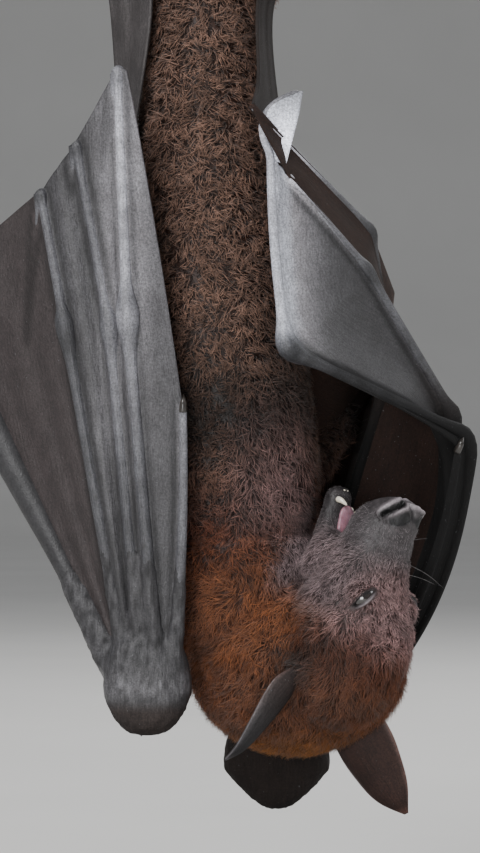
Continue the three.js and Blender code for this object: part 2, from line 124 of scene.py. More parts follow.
def chain(joints, bows=()):
    """Straight lengths from joint to joint, each bent by its bow; every joint is evenly spaced."""
    held = np.asarray(joints, float)

    def place(t):
        t = np.clip(np.atleast_1d(t), 0, 1) * (len(held) - 1)
        k = np.minimum(t.astype(int), len(held) - 2)
        t = (t - k)[:, None]
        bend = np.array([bows[i] if i < len(bows) else (0, 0, 0) for i in k], float)
        return held[k] * (1 - t) + held[k + 1] * t + bend * 4 * t * (1 - t)

    return place


def ripple(points, size, seed=0.0):
    """Smooth noise of about -1 to 1 at each point."""
    offset = Vector((seed * 17.3, seed * 5.1, seed * 9.7))
    return np.array([noise.noise(Vector(p) / size + offset) for p in points])


# ---------------------------------------------------------------- making meshes
def mesh_of(name, points, faces):
    mesh = bpy.data.meshes.new(name)
    mesh.from_pydata((np.asarray(points) * MM).tolist(), [], [tuple(f) for f in faces])
    mesh.validate()
    mesh.update()
    return mesh


def piece(name, mesh, material, replaces=()):
    made = bpy.data.objects.new(name, mesh)
    bpy.context.scene.collection.objects.link(made)
    mesh.materials.clear()
    mesh.materials.append(material)
    mesh.polygons.foreach_set("use_smooth", np.ones(len(mesh.polygons), bool))
    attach(made, "root")
    if replaces:
        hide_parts(*replaces)
    return made


def grid_faces(rows, columns, start=0, closed=False):
    """Quads of a grid of points in rows; `closed` joins each row's end to its start."""
    last = columns if closed else columns - 1
    r, c = np.meshgrid(np.arange(rows - 1), np.arange(last), indexing="ij")
    a = r * columns + c
    b = r * columns + (c + 1) % columns
    return (np.stack([a, b, b + columns, a + columns], -1).reshape(-1, 4) + start).tolist()


def joined(*parts):
    """One list of points and one of faces from several."""
    points, faces, count = [], [], 0
    for some_points, some_faces in parts:
        points.append(some_points)
        faces += [[i + count for i in f] for f in some_faces]
        count += len(some_points)
    return np.vstack(points), faces


def capped(rings, around, first, last):
    """A closed body from rings of points, each `around` long, with a point at either end."""
    count = len(rings)
    faces = grid_faces(count // around, around, closed=True)
    for i in range(around):
        j = (i + 1) % around
        faces += [[count, j, i], [count + 1, count - around + i, count - around + j]]
    return np.vstack([rings, first, last]), faces


def shut_ends(edge):
    """Rounds a body's ends: 1 where edge is 1 or more, and down to 0 on a quarter circle."""
    return np.where(edge >= 1, 1, np.sqrt(1 - (1 - np.minimum(edge, 1)) ** 2))


def limb(line, side, front, sideways, around=28, along=40, close=0.16):
    """A closed round body along a line; side(t) and front(t) are its half widths."""
    s = 0.5 - 0.5 * np.cos(np.pi * np.linspace(0, 1, along + 1)[1:-1])
    centre = line(s)
    tangent = unit(line(np.minimum(s + 1e-3, 1)) - line(np.maximum(s - 1e-3, 0)))
    up = unit(np.cross(tangent, sideways))
    across = unit(np.cross(up, tangent))
    shut = shut_ends(np.minimum(s, 1 - s) / close)
    angle = np.linspace(0, 2 * np.pi, around, endpoint=False)
    wide = (side(s) * shut)[:, None, None] * np.cos(angle)[None, :, None]
    deep = (front(s) * shut)[:, None, None] * np.sin(angle)[None, :, None]
    rings = (centre[:, None] + across[:, None] * wide + up[:, None] * deep).reshape(-1, 3)
    return capped(rings, around, line(0.0), line(1.0))


def tube(line, radii, sideways, around=28, along=40, close=0.16):
    """A round limb, through evenly spaced radii."""
    radius = profile(*radii)
    return limb(line, radius, radius, sideways, around, along, close)


def ellipsoid(centre, radii, around=32, along=24):
    phi = np.linspace(0, np.pi, along + 1)[1:-1, None]
    theta = np.linspace(0, 2 * np.pi, around, endpoint=False)[None, :]
    rings = np.stack([np.cos(theta) * np.sin(phi), np.sin(theta) * np.sin(phi),
                      np.cos(phi) + 0 * theta], -1).reshape(-1, 3)
    points, faces = capped(rings, around, (0, 0, 1), (0, 0, -1))
    return points * radii + centre, faces


def sheet(patch, rows, columns, thick):
    """A closed thin sheet: patch(u, v) is its middle and thick(u, v) its half thickness."""
    u, v = (g.ravel() for g in np.meshgrid(np.linspace(0, 1, rows), np.linspace(0, 1, columns),
                                           indexing="ij"))
    step = 1e-3
    over_u = patch(np.minimum(u + step, 1), v) - patch(np.maximum(u - step, 0), v)
    over_v = patch(u, np.minimum(v + step, 1)) - patch(u, np.maximum(v - step, 0))
    normal = unit(np.cross(over_u, over_v))
    middle = patch(u, v)
    half = thick(u, v)[:, None]
    count = rows * columns
    points = np.vstack([middle + normal * half, middle - normal * half])
    faces = grid_faces(rows, columns) + [f[::-1] for f in grid_faces(rows, columns, count)]
    rim = ([i for i in range(columns)] + [r * columns + columns - 1 for r in range(1, rows)]
           + [(rows - 1) * columns + c for c in range(columns - 2, -1, -1)]
           + [r * columns for r in range(rows - 2, 0, -1)])
    for a, b in zip(rim, rim[1:] + rim[:1]):
        faces.append([b, a, a + count, b + count])
    return points, faces, np.tile(np.stack([u, v], -1), (2, 1))


def remeshed(name, parts, cell):
    """Closed bodies joined into one skin of even cells."""
    mesh = mesh_of(name, *joined(*parts))
    made = bpy.data.objects.new(name, mesh)
    bpy.context.scene.collection.objects.link(made)
    change = made.modifiers.new("join", "REMESH")
    change.mode = "VOXEL"
    change.voxel_size = cell * MM
    soften = made.modifiers.new("soften", "SMOOTH")
    soften.iterations = 4
    soften.factor = 0.5
    graph = bpy.context.evaluated_depsgraph_get()
    result = bpy.data.meshes.new_from_object(made.evaluated_get(graph), depsgraph=graph)
    bpy.data.objects.remove(made)
    bpy.data.meshes.remove(mesh)
    return result


def points_of(mesh):
    points = np.empty(len(mesh.vertices) * 3, np.float32)
    mesh.vertices.foreach_get("co", points)
    return points.reshape(-1, 3).astype(float) / MM


def set_points(mesh, points):
    mesh.vertices.foreach_set("co", (points * MM).astype(np.float32).ravel())
    mesh.update()


def normals_of(mesh):
    normals = np.empty(len(mesh.vertices) * 3, np.float32)
    mesh.vertex_normals.foreach_get("vector", normals)
    return normals.reshape(-1, 3).astype(float)


def paint(mesh, colours):
    """Gives each point its colour, which the materials read as Tint."""
    layer = mesh.color_attributes.new("Tint", "FLOAT_COLOR", "POINT")
    rgba = np.ones((len(mesh.vertices), 4), np.float32)
    rgba[:, :3] = colours
    layer.data.foreach_set("color", rgba.ravel())


def map_points(mesh, coordinates, name):
    """A UV map from one coordinate pair for each point."""
    layer = mesh.uv_layers.new(name=name)
    corner = np.empty(len(mesh.loops), np.int32)
    mesh.loops.foreach_get("vertex_index", corner)
    layer.data.foreach_set("uv", coordinates[corner].astype(np.float32).ravel())


# ---------------------------------------------------------------- the head's own frame
FORWARD = unit(at(0.4, -0.14, 0.905))
LEFT = at(-0.62, -0.76, 0.19)
LEFT = unit(LEFT - FORWARD * (LEFT @ FORWARD))
CROWN = np.cross(FORWARD, LEFT)
HEAD_AXES = np.stack([FORWARD, LEFT, CROWN])


def in_head(f, l, u):
    return SKULL + FORWARD * f + LEFT * l + CROWN * u


def head_place(points):
    """Forward, left and up of each point in the head's frame."""
    return ((points - SKULL) @ HEAD_AXES.T).T


def turned(direction):
    """A direction given as forward, left, up."""
    return np.asarray(direction, float) @ HEAD_AXES


def eye_centre(side):
    return in_head(EYE["forward"], side * EYE["side"], EYE["up"])


# ---------------------------------------------------------------- the limbs' joints
LEGS = {
    "left": {"hip": at(-26, 8, 406), "knee": at(-50, 30, 470), "ankle": at(-39, 19, 545)},
    "right": {"hip": at(-2, 8, 406), "knee": at(22, 30, 470), "ankle": at(11, 19, 545)},
}
ARMS = {
    "left": {"shoulder": at(-26, 14, 206), "elbow": at(-128, 22, 286), "wrist": at(-45, -38, 130)},
    "right": {"shoulder": at(12, 12, 204), "elbow": at(64, 86, 262), "wrist": at(16, 42, 96)},
}


# ---------------------------------------------------------------- where each kind of coat grows
def along_line(points, a, b):
    """How far along from a to b each point is, and how far from the line."""
    t = np.clip((points - a) @ (b - a) / ((b - a) @ (b - a)), 0, 1)
    return t, np.linalg.norm(points - (a + t[:, None] * (b - a)), axis=1)


def on_arms(points):
    """1 where the bare wing arm is: the forearm and the outer half of the upper arm."""
    arm = np.zeros(len(points))
    for bones in ARMS.values():
        t, far = along_line(points, bones["wrist"], bones["elbow"])
        arm = np.maximum(arm, 1 - smooth(far, 10, 12.5))
        t, far = along_line(points, bones["shoulder"], bones["elbow"])
        arm = np.maximum(arm, smooth(t, 0.42, 0.6) * (1 - smooth(far, 16, 19)))
    return arm


def regions(points):
    """How much each point belongs to the face, muzzle, mantle, legs and arms."""
    f, l, u = head_place(points)
    off_axis = np.hypot(l, u)
    near_head = 1 - smooth(off_axis, 33, 43)
    face = smooth(f, 6, 22) * near_head
    muzzle = smooth(f, 34, 46) * near_head
    mantle = (1 - smooth(points[:, 2], 165, 200)) * (1 - face)
    leg = smooth(points[:, 2], 432, 455)
    return {"face": face, "muzzle": muzzle, "mantle": mantle, "leg": leg, "arm": on_arms(points)}


NOSTRIL = [(62.3, 3.2, 1.4), (60.2, 5.2, 0.4), (58.0, 6.6, -0.6), (55.8, 8.0, -1.7)]
NOSE_PAD = {"centre": (56.9, 6.0, 5.6), "reach": 4.6}
JAW_LIP = [(40, 6.5, -22.5), (46, 6.2, -25.2), (51, 5.4, -27.6)]
NOSTRIL_WAY = unit(at(0.14, 0.756, 0.637))  # the way the left nostril faces


def to_path(points, path):
    """How far each point is from a line of joints, and how far along the nearest place is."""
    best, along = np.full(len(points), 1e9), np.zeros(len(points))
    for k, (a, b) in enumerate(zip(path, path[1:])):
        a, b = np.asarray(a, float), np.asarray(b, float)
        t = np.clip((points - a) @ (b - a) / ((b - a) @ (b - a)), 0, 1)
        far = np.linalg.norm(points - (a + t[:, None] * (b - a)), axis=1)
        nearer = far < best
        best[nearer], along[nearer] = far[nearer], (k + t[nearer]) / (len(path) - 1)
    return best, along


def nose_marks(f, l, u):
    """Distance from its side's nostril, how far along it that is, and distance from the pad."""
    own = np.stack([f, np.abs(l), u], -1)
    flat = own - NOSTRIL_WAY * (own @ NOSTRIL_WAY)[:, None]
    path = [np.array(p) - NOSTRIL_WAY * (np.array(p) @ NOSTRIL_WAY) for p in NOSTRIL]
    centre = np.array(NOSE_PAD["centre"])
    centre = centre - NOSTRIL_WAY * (centre @ NOSTRIL_WAY)
    far, along = to_path(flat, path)
    behind = smooth(np.linalg.norm(own - np.array(NOSTRIL[1]), axis=1), 8, 10) * 9
    return far + behind, along, np.linalg.norm(flat - centre, axis=1) + behind


SLIT = {"half": 5.0, "open": 1.3, "tilt": 33, "depth": 2.3}


def lid_frame(side):
    """The eye's outward axis and the slit's own two axes."""
    out = turned(unit(at(0.16, side * 0.75, 0.64)))
    tilt = math.radians(SLIT["tilt"])
    along = turned(at(math.cos(tilt), 0, math.sin(tilt)))
    along = unit(along - out * (along @ out))
    return out, along, np.cross(out, along)


def from_slit(points):
    """Distance from the nearer eye's slit, as a share of the bare rim round it; large elsewhere."""
    share = np.full(len(points), 9.0)
    for side in (1, -1):
        out, along, across = lid_frame(side)
        off = points - eye_centre(side)
        ring = np.hypot(off @ along / 6.0, off @ across / 2.2)
        near = (off @ out > 0) & (np.linalg.norm(off, axis=1) < 11)
        share = np.where(near, np.minimum(share, ring), share)
    return share


def lid_tone(points):
    """How pale the lids are: pale on the crown's side of the slit, dark on the other."""
    tone = np.full(len(points), 0.3)
    for side in (1, -1):
        across = lid_frame(side)[2]
        off = points - eye_centre(side)
        up = off @ across * np.sign(across @ turned(at(0, 0, 1)))
        near = np.linalg.norm(off, axis=1) < 11
        tone = np.where(near, 0.3 + 2.4 * smooth(up, 0.5, 2.0), tone)
    return tone


HAIR = {  # each kind's colour at the root and at the tip
    "body": (at(0.034, 0.016, 0.011), at(0.35, 0.203, 0.146)),
    "dark": (at(0.008, 0.004, 0.003), at(0.046, 0.024, 0.016)),
    "hollow": (at(0.008, 0.004, 0.003), at(0.35, 0.203, 0.146)),
    "throat": (at(0.055, 0.030, 0.028), at(0.34, 0.20, 0.19)),
    "chest": (at(0.035, 0.009, 0.005), at(0.140, 0.038, 0.020)),
    "mantle": (at(0.055, 0.014, 0.005), at(0.44, 0.155, 0.056)),
    "nape": (at(0.100, 0.030, 0.003), at(0.74, 0.26, 0.012)),
    "brow": (at(0.060, 0.018, 0.015), at(0.72, 0.42, 0.40)),
    "face": (at(0.024, 0.013, 0.013), at(0.50, 0.37, 0.38)),
}
# bare skin
MUZZLE_SKIN = at(0.066, 0.059, 0.062)
NOSE_SKIN = at(0.008, 0.008, 0.009)
LID_SKIN = at(0.075, 0.066, 0.070)
WING_SKIN = at(0.070, 0.068, 0.072)
# the pale of a painted highlight on the wings' bones, the right wing's fold and its leaf strip
WING_HIGHLIGHT = at(0.26, 0.27, 0.30)
# dark brown; inside the half-open right wing it is painted shade
WING_BROWN = at(0.034, 0.024, 0.021)
# the middles of the coat's patches
DARK_CROWN = at(48, -46, 128)
FLUSH = in_head(14, 17, 20)
HOLLOW = in_head(37, 19, 9)
EAR_FUR = in_head(-6, 29, 3)
THROAT_Z = 208  # the height of the throat's middle


def gone_from(points, place):
    return np.linalg.norm(points - place, axis=1)


def markings(points, tip):
    """The coat's colour at each root, from the skin (tip 0) to the hair's tip (1)."""
    where = regions(points)
    f, l, u = head_place(points)
    x, y, z = points.T
    tip = np.broadcast_to(tip, len(points))[:, None]

    def shade(kind, tint=1.0):
        root, end = HAIR[kind]
        return (root * (1 - tip) + end * tip) * tint

    def over(other, share):
        share = share[:, None]
        colour[:] = colour * (1 - share) + other * share

    colour = shade("body")
    # the trunk: a painted shadow band across it and painted shade down its right side by the wing, then
    # the chest, the throat and the mantle
    shadow = np.maximum(hump(z - 236, 19) * 0.95, hump(z - 244, 40) * smooth(x, 0, 14) * 0.85)
    over(shade("dark"), shadow)
    over(shade("chest"), hump(z - 185, 26))
    over(shade("throat"), hump(z - THROAT_Z, 24) * smooth(x, -12, 14) * smooth(-y, 0, 25))
    over(shade("mantle"), where["mantle"])
    redder = smooth(0.5 + 0.5 * ripple(points, 22, 7), 0.4, 0.9)
    over(colour * at(0.62, 0.46, 0.40), where["mantle"] * redder * 0.8)
    over(shade("nape"), 1 - smooth(z, 96, 120))
    # the head: darker crown and temples, pale brow, flush over the eye, greyer cheeks
    on_skull = 1 - smooth(np.hypot(l, u), 36, 46)
    over(shade("chest", at(1.0, 1.5, 1.5)), hump(gone_from(points, DARK_CROWN), 24) * 0.55)
    over(shade("chest", at(1.1, 1.2, 1.2)), hump(f - 5, 10) * on_skull * smooth(u, -8, 4) * 0.6)
    brow = smooth(f, 4, 16) * smooth(u, -2, 16) * on_skull
    over(shade("brow"), brow * 0.9)
    over(shade("chest", 1.15), hump(gone_from(points, FLUSH), 7) * 0.8)
    over(shade("face"), where["face"] * (1 - 0.55 * brow) * smooth(f, 2, 18))
    over(shade("hollow", 0.5), hump(gone_from(points, HOLLOW), 5) * 0.6)
    # the muzzle: speckled skin, the nose pad, a painted highlight on the nostril's rim, its hole painted
    # near black as shade, the jaw and its lip
    mottled = (1 + 0.45 * ripple(points, 1.6, 3) + 0.25 * ripple(points, 5, 9))[:, None]
    over(MUZZLE_SKIN * (0.75 + 3.2 * tip) * mottled, where["muzzle"] * 0.92)
    far, _, pad = nose_marks(f, l, u)
    over(NOSE_SKIN, 1 - smooth(pad, 3.6, 5.0))
    # painted highlight: the nostril's rim made pale where a wet shine would catch the light
    over(LID_SKIN * 4.6, hump(far - 2.3, 0.8) * smooth(f, 54, 60) * 0.85)
    # painted shade: the nostril's hole near black
    over(NOSE_SKIN * 0.2, 1 - smooth(far, 0.9, 1.6))
    over(colour * 0.62, where["muzzle"] * (1 - smooth(u + 0.25 * f, -12, -6)))
    over(LID_SKIN * 2.2, hump(to_path(np.stack([f, np.abs(l), u], -1), JAW_LIP)[0], 0.7))
    # the eyelids, the dark fur round the near ear, and the bare forearms, the right one dark brown as
    # painted shade inside its half-open wing
    over(LID_SKIN * lid_tone(points)[:, None], (1 - smooth(from_slit(points), 0.75, 1.25)) * 0.9)
    over(shade("dark"), np.minimum(1, hump(gone_from(points, EAR_FUR), 11) * 1.4))
    # the right arm's dark brown is painted shade inside the half-open wing
    over(np.where(x[:, None] < -30, WING_SKIN * 0.5, WING_BROWN * 0.6), where["arm"])
    return colour


# ---------------------------------------------------------------- materials
class Paint:
    """Builds one node material; each method adds a node and returns its output."""

    def __init__(self, name, roughness=0.6, **inputs):
        self.material = bpy.data.materials.new(name)
        self.material.use_nodes = True
        self.tree = self.material.node_tree
        self.shader = self.tree.nodes["Principled BSDF"]
        self.feed(self.shader, Roughness=roughness, **inputs)

    def feed(self, node, **links):
        """Links or sets a node's inputs, each named by its title or, as _0, by its number."""
        for socket, value in links.items():
            number = socket[1:]
            target = node.inputs[int(number) if number.isdigit() else socket.replace("_", " ")]
            if isinstance(value, bpy.types.NodeSocket):
                self.tree.links.new(value, target)
            else:
                target.default_value = (*value, 1) if target.type == "RGBA" else value

    def node(self, kind, settings=None, **links):
        made = self.tree.nodes.new("ShaderNode" + kind)
        for key, value in (settings or {}).items():
            setattr(made, key, value)
        self.feed(made, **links)
        return made

    def place(self, stretch=(1, 1, 1)):
        source = self.node("TexCoord").outputs["Object"]
        return self.node("Mapping", Vector=source, Scale=stretch).outputs[0]

    def uv(self, name, stretch=(1, 1, 1)):
        source = self.node("UVMap", {"uv_map": name}).outputs[0]
        return self.node("Mapping", Vector=source, Scale=stretch).outputs[0]

    def noise(self, where, scale, detail=3.0, rough=0.55):
        return self.node("TexNoise", Vector=where, Scale=scale, Detail=detail,
                         Roughness=rough).outputs["Fac"]

    def cells(self, where, scale):
        return self.node("TexVoronoi", Vector=where, Scale=scale).outputs["Distance"]

    def ramp(self, value, low, high):
        """Colours from one position to another; a plain number stands for a grey."""
        made = self.node("ValToRGB", Fac=value)
        for element, (position, colour) in zip(made.color_ramp.elements, (low, high)):
            element.position = position
            element.color = (*np.broadcast_to(colour, 3), 1)
        return made.outputs["Color"]

    def tint(self):
        return self.node("Attribute", {"attribute_name": "Tint"}).outputs["Color"]

    def mix(self, share, a, b, kind="MULTIPLY"):
        return self.node("Mix", {"data_type": "RGBA", "blend_type": kind}, _0=share, _6=a,
                         _7=b).outputs[2]

    def colour(self, value):
        self.feed(self.shader, Base_Color=value)

    def rough(self, value, low, high, start=0.0, end=1.0):
        self.feed(self.shader, Roughness=self.node(
            "MapRange", Value=value, From_Min=start, From_Max=end, To_Min=low, To_Max=high).outputs[0])

    def bump(self, value, strength, distance, under=None):
        made = self.node("Bump", Height=value, Strength=strength, Distance=distance * MM)
        if under is not None:
            self.feed(made, Normal=under)
        self.feed(self.shader, Normal=made.outputs[0])
        return made.outputs[0]


def grained(name, scale, low, high, stretch=(1, 1, 1), detail=3.0, top=0.7, bump=None, **inputs):
    """A material whose colour, and bump if it has one, follow one noise."""
    paint = Paint(name, **inputs)
    grain = paint.noise(paint.place(stretch), scale, detail)
    paint.colour(paint.ramp(grain, (0.3, low), (top, high)))
    if bump:
        paint.bump(grain, *bump)
    return paint


def coat_material():
    paint = Paint("coat", roughness=0.55, Specular_IOR_Level=0.35, Sheen_Weight=0.12,
                  Sheen_Roughness=0.5)
    patchy = paint.ramp(paint.noise(paint.place(), 120, 2), (0.3, 0.78), (0.7, 1.2))
    paint.colour(paint.mix(1.0, paint.tint(), patchy))
    return paint.material


def skin_material():
    paint = Paint("skin", roughness=0.5, Specular_IOR_Level=0.45)
    where = paint.place()
    speckle = paint.ramp(paint.noise(where, 900), (0.3, 0.72), (0.7, 1.22))
    paint.colour(paint.mix(1.0, paint.tint(), speckle))
    paint.rough(paint.noise(where, 300), 0.38, 0.62)
    pores = paint.bump(paint.cells(where, 1400), 0.35, 0.25)
    paint.bump(paint.noise(where, 500, 4), 0.35, 0.5, pores)
    return paint.material


def wing_material():
    """Leathery skin: threads along the web, crackled and dusty, dull where it is dark."""
    paint = Paint("wing", Specular_IOR_Level=0.55)
    where, tint = paint.place(), paint.tint()
    threads = paint.noise(paint.uv("Grain", (900, 130, 1)), 1.0, 4)
    fine = paint.noise(paint.uv("Grain", (2600, 420, 1)), 1.0, 2)
    crackle = paint.noise(where, 1300, 4, 0.7)
    colour = tint
    for value, low, high in (
        (threads, (0.32, (0.80, 0.79, 0.79)), (0.68, (1.20, 1.20, 1.21))),
        (crackle, (0.36, 0.56), (0.66, (1.46, 1.46, 1.48))),
        (paint.noise(where, 90), (0.35, (0.84, 0.83, 0.83)), (0.65, 1.15)),
    ):
        colour = paint.mix(1.0, colour, paint.ramp(value, low, high))
    dust = paint.ramp(paint.noise(where, 1100, 1), (0.74, 0.0), (0.80, 0.7))
    paint.colour(paint.mix(dust, colour, (0.17, 0.17, 0.18), "MIX"))
    paint.rough(tint, 0.95, 0.40, 0.012, 0.05)
    low = paint.bump(threads, 0.6, 0.7)
    creases = paint.bump(fine, 0.5, 0.4, low)
    paint.bump(crackle, 0.5, 0.35, creases)
    return paint.material


def eye_material():
    return grained("eye", 500, (0.006, 0.003, 0.002), (0.020, 0.010, 0.006), top=0.8,
                   roughness=0.05, IOR=1.8, Coat_Weight=0.8).material


def tongue_material():
    paint = grained("tongue", 400, (0.26, 0.12, 0.16), (0.42, 0.22, 0.27),
                    roughness=0.3, Subsurface_Weight=0.2, Subsurface_Scale=0.002)
    paint.bump(paint.cells(paint.place(), 1500), 0.5, 0.3)
    return paint.material


def tooth_material():
    return grained("tooth", 300, (0.72, 0.66, 0.52), (0.86, 0.82, 0.72),
                   roughness=0.22, Coat_Weight=0.4).material


def claw_material():
    return grained("claw", 600, (0.012, 0.010, 0.009), (0.055, 0.048, 0.042), (1, 1, 0.3),
                   bump=(0.3, 0.2), roughness=0.28, Coat_Weight=0.3).material


def whisker_material():
    return grained("whisker", 400, (0.10, 0.09, 0.09), (0.25, 0.24, 0.24), roughness=0.35).material


def bark_material():
    paint = Paint("bark", roughness=0.9)
    long_grain = paint.noise(paint.place((0.18, 1, 1)), 260, 6, 0.65)
    plates = paint.cells(paint.place((0.35, 1, 1)), 130)
    streaks = paint.ramp(long_grain, (0.3, (0.055, 0.036, 0.022)), (0.7, (0.24, 0.17, 0.11)))
    scales = paint.ramp(plates, (0.1, (0.05, 0.035, 0.022)), (0.6, (0.30, 0.235, 0.165)))
    paint.colour(paint.mix(0.45, streaks, scales, "MIX"))
    paint.bump(long_grain, 0.7, 1.0, paint.bump(plates, 0.6, 1.2))
    return paint.material


def wood_material():
    paint = Paint("sawn_wood", roughness=0.8)
    rings = paint.node("TexWave", {"wave_type": "RINGS", "rings_direction": "X"},
                       Vector=paint.place(), Scale=260.0, Distortion=2.0, Detail=3.0).outputs[1]
    paint.colour(paint.ramp(rings, (0.2, (0.34, 0.24, 0.14)), (0.8, (0.52, 0.40, 0.26))))
    paint.bump(rings, 0.3, 0.3)
    return paint.material


def base_material():
    return grained("stand_board", 180, (0.020, 0.020, 0.022), (0.042, 0.041, 0.042), (0.12, 1, 1), 5,
                   bump=(0.12, 0.3), roughness=0.42, Coat_Weight=0.25, Coat_Roughness=0.3).material


def rod_material():
    paint = Paint("stand_steel", roughness=0.3, Metallic=1.0)
    brushed = paint.noise(paint.place((1, 1, 0.02)), 2500, 2)
    paint.colour(paint.ramp(brushed, (0.3, (0.42, 0.43, 0.45)), (0.7, (0.60, 0.61, 0.63))))
    paint.rough(brushed, 0.24, 0.40)
    paint.bump(brushed, 0.1, 0.1)
    return paint.material


def floor_material():
    return grained("floor", 3, (0.74, 0.73, 0.71), (0.78, 0.77, 0.75), roughness=0.9).material


SKIN, COAT_HAIR, WING = skin_material(), coat_material(), wing_material()
CLAW = claw_material()


# ---------------------------------------------------------------- camera, light and floor
def make_camera():
    made = bpy.data.objects.new("camera", bpy.data.cameras.new("camera"))
    bpy.context.scene.collection.objects.link(made)
    made.location = Vector(CAMERA["at"]) * MM
    made.rotation_euler = (math.radians(90), 0, 0)
    made.data.sensor_fit = "AUTO"
    made.data.sensor_width = 36
    made.data.lens = -36 * CAMERA["at"][1] / CAMERA["seen"]
    made.data.clip_start, made.data.clip_end = 0.05, 20
    bpy.context.scene.camera = made


def make_lights():
    for name, place, size, power in (
        ("key", (-0.75, -1.5, 1.75), 0.8, 39),
        ("catch", (-0.30, -1.45, 0.16), 0.62, 10),
        ("fill", (1.9, 0.3, 1.3), 1.4, 14),
        ("rim", (0.5, 1.6, 1.7), 1.2, 22),
    ):
        light = bpy.data.lights.new(name, "AREA")
        light.size, light.energy = size, power
        made = bpy.data.objects.new(name, light)
        bpy.context.scene.collection.objects.link(made)
        made.location = place
        aim = Vector((0, 0, 0.25)) - made.location
        made.rotation_euler = aim.to_track_quat("-Z", "Y").to_euler()
    world = bpy.data.worlds.new("world")
    bpy.context.scene.world = world
    world.use_nodes = True
    world.node_tree.nodes["Background"].inputs[0].default_value = (0.80, 0.82, 0.85, 1)
    world.node_tree.nodes["Background"].inputs[1].default_value = 0.34


def make_floor():
    """A pale floor that curves up into a backdrop behind the animal."""
    bend = [(-9000, 0), (6000, 0)]
    bend += [(6000 + 1500 * math.sin(a), 1500 - 1500 * math.cos(a))
             for a in np.linspace(0, np.pi / 2, 24)[1:]]
    bend += [(7500, 6000)]
    points = [(x, y, z) for y, z in bend for x in (-9000, 9000)]
    mesh = mesh_of("floor", points, [f[::-1] for f in grid_faces(len(bend), 2)])
    mesh.materials.append(floor_material())
    mesh.polygons.foreach_set("use_smooth", np.ones(len(mesh.polygons), bool))
    made = bpy.data.objects.new("floor", mesh)
    bpy.context.scene.collection.objects.link(made)


# ---------------------------------------------------------------- the flesh
PERCH = {"z": 572, "radius": 12, "length": 344, "bow": 3}
TOE = {"count": 5, "radius": 2.3, "spread": 4.9, "start": -25, "end": 195, "gap": 0.9}


def less(value, amount):
    return lambda t: value(t) - amount


def trunk_parts():
    line = through([(-4, 3, 168), (-6, 2, 210), (-10, 2, 260), (-13, 3, 315), (-14, 6, 370),
                    (-14, 9, 428)])
    wide = less(profile(36, 39.5, 37.5, 32.5, 27, 23), COAT["body"])
    deep = less(profile(36, 40, 40, 36, 30, 24), COAT["body"])
    yield limb(line, wide, deep, at(1, 0, 0), 48, 60, close=0.12)
    collar = through([(-4, 2, 200), (-2, 0, 165), (6, -4, 140)])
    yield limb(collar, less(profile(38, 40, 34), COAT["mantle"]),
               less(profile(38, 38, 32), COAT["mantle"]), at(1, 0, 0), 48, 40, close=0.3)
    yield ellipsoid(MANTLE["centre"], MANTLE["radii"] - COAT["mantle"])


def limb_parts():
    def straight(a, b, widths, thinner, beyond=0.0):
        reach = unit(b - a) * beyond
        radius = less(profile(*widths), thinner)
        return limb(chain([a - reach, b + reach]), radius, radius, at(1, 0, 0.01), 28, 40)

    for leg in LEGS.values():
        yield straight(leg["hip"], leg["knee"], (18.5, 16, 11), COAT["leg"], 7)
        yield straight(leg["knee"], leg["ankle"], (11, 8.5, 6), 1.5, 7)
    for arm in ARMS.values():
        yield straight(arm["shoulder"], arm["elbow"], (15, 13, 10, 8, 6), 1.6)
        yield straight(arm["wrist"], arm["elbow"], (5.5, 5, 7, 9, 7), 0.6)


HEAD = {"back": -34, "front": 64}


def head_loft():
    """The skull in its skin: the coat is thick at the back and thin from the eyes forward."""
    s = 0.5 - 0.5 * np.cos(np.pi * np.linspace(0, 1, 61)[1:-1])
    f = HEAD["back"] + (HEAD["front"] - HEAD["back"]) * s
    coat = COAT["mantle"] - (COAT["mantle"] - COAT["face"]) * smooth(f, -8, 20)
    top = profile(8, 24, 29.5, 28.5, 24, 16.3, 12.3, 9.5, 6)(s) - coat
    low = profile(-8, -24, -27, -25.5, -23, -20.5, -19.3, -18.7, -9)(s) + coat
    wide = profile(10, 23, 27, 26.5, 24, 19, 15, 12, 6.5)(s) - coat
    shut = shut_ends(np.minimum(s / 0.12, (1 - s) / 0.07))
    around = 48
    angle = np.linspace(0, 2 * np.pi, around, endpoint=False)[None, :]
    half = (top - low) / 2
    middle = (top + low) / 2
    l = np.cos(angle) * (np.maximum(wide, 1) * shut)[:, None]
    u = middle[:, None] + np.sin(angle) * (np.maximum(half, 1) * shut)[:, None]
    rings = SKULL + FORWARD * f[:, None, None] + LEFT * l[..., None] + CROWN * u[..., None]
    back, front = in_head(HEAD["back"], 0, middle[0]), in_head(HEAD["front"], 0, middle[-1])
    points, faces = capped(rings.reshape(-1, 3), around, back, front)
    return points, [face[::-1] for face in faces]


def head_parts():
    yield head_loft()
    jaw = through([in_head(6, 0, -15), in_head(26, 0, -22), in_head(42, 0, -28.5),
                   in_head(55.5, 0, -32.5)])
    yield limb(jaw, less(profile(13, 11.5, 9, 7.2, 6), 0.5),
               less(profile(7.5, 7, 6, 5.2, 4.5), 0.5), LEFT, 28, 40, close=0.1)
    for side in (1, -1):
        yield ellipsoid(eye_centre(side), at(1, 1, 1) * (EYE["radius"] + EYE["lid"]), 28, 20)
        nostril = through([in_head(50, side * 3, 2), in_head(57, side * 3.8, 2.6),
                           in_head(63.6, side * 4.1, 2.9)])
        yield limb(nostril, profile(5.4, 4.8, 3.7), profile(5.6, 5.0, 4.2), LEFT, 20, 20, close=0.2)
        corner = through([in_head(20, side * 11, -17), in_head(33, side * 8.5, -20),
                          in_head(40.5, side * 5.5, -22)])
        yield limb(corner, profile(6, 5, 3.0), profile(8, 6, 3.0), LEFT, 20, 20, close=0.2)


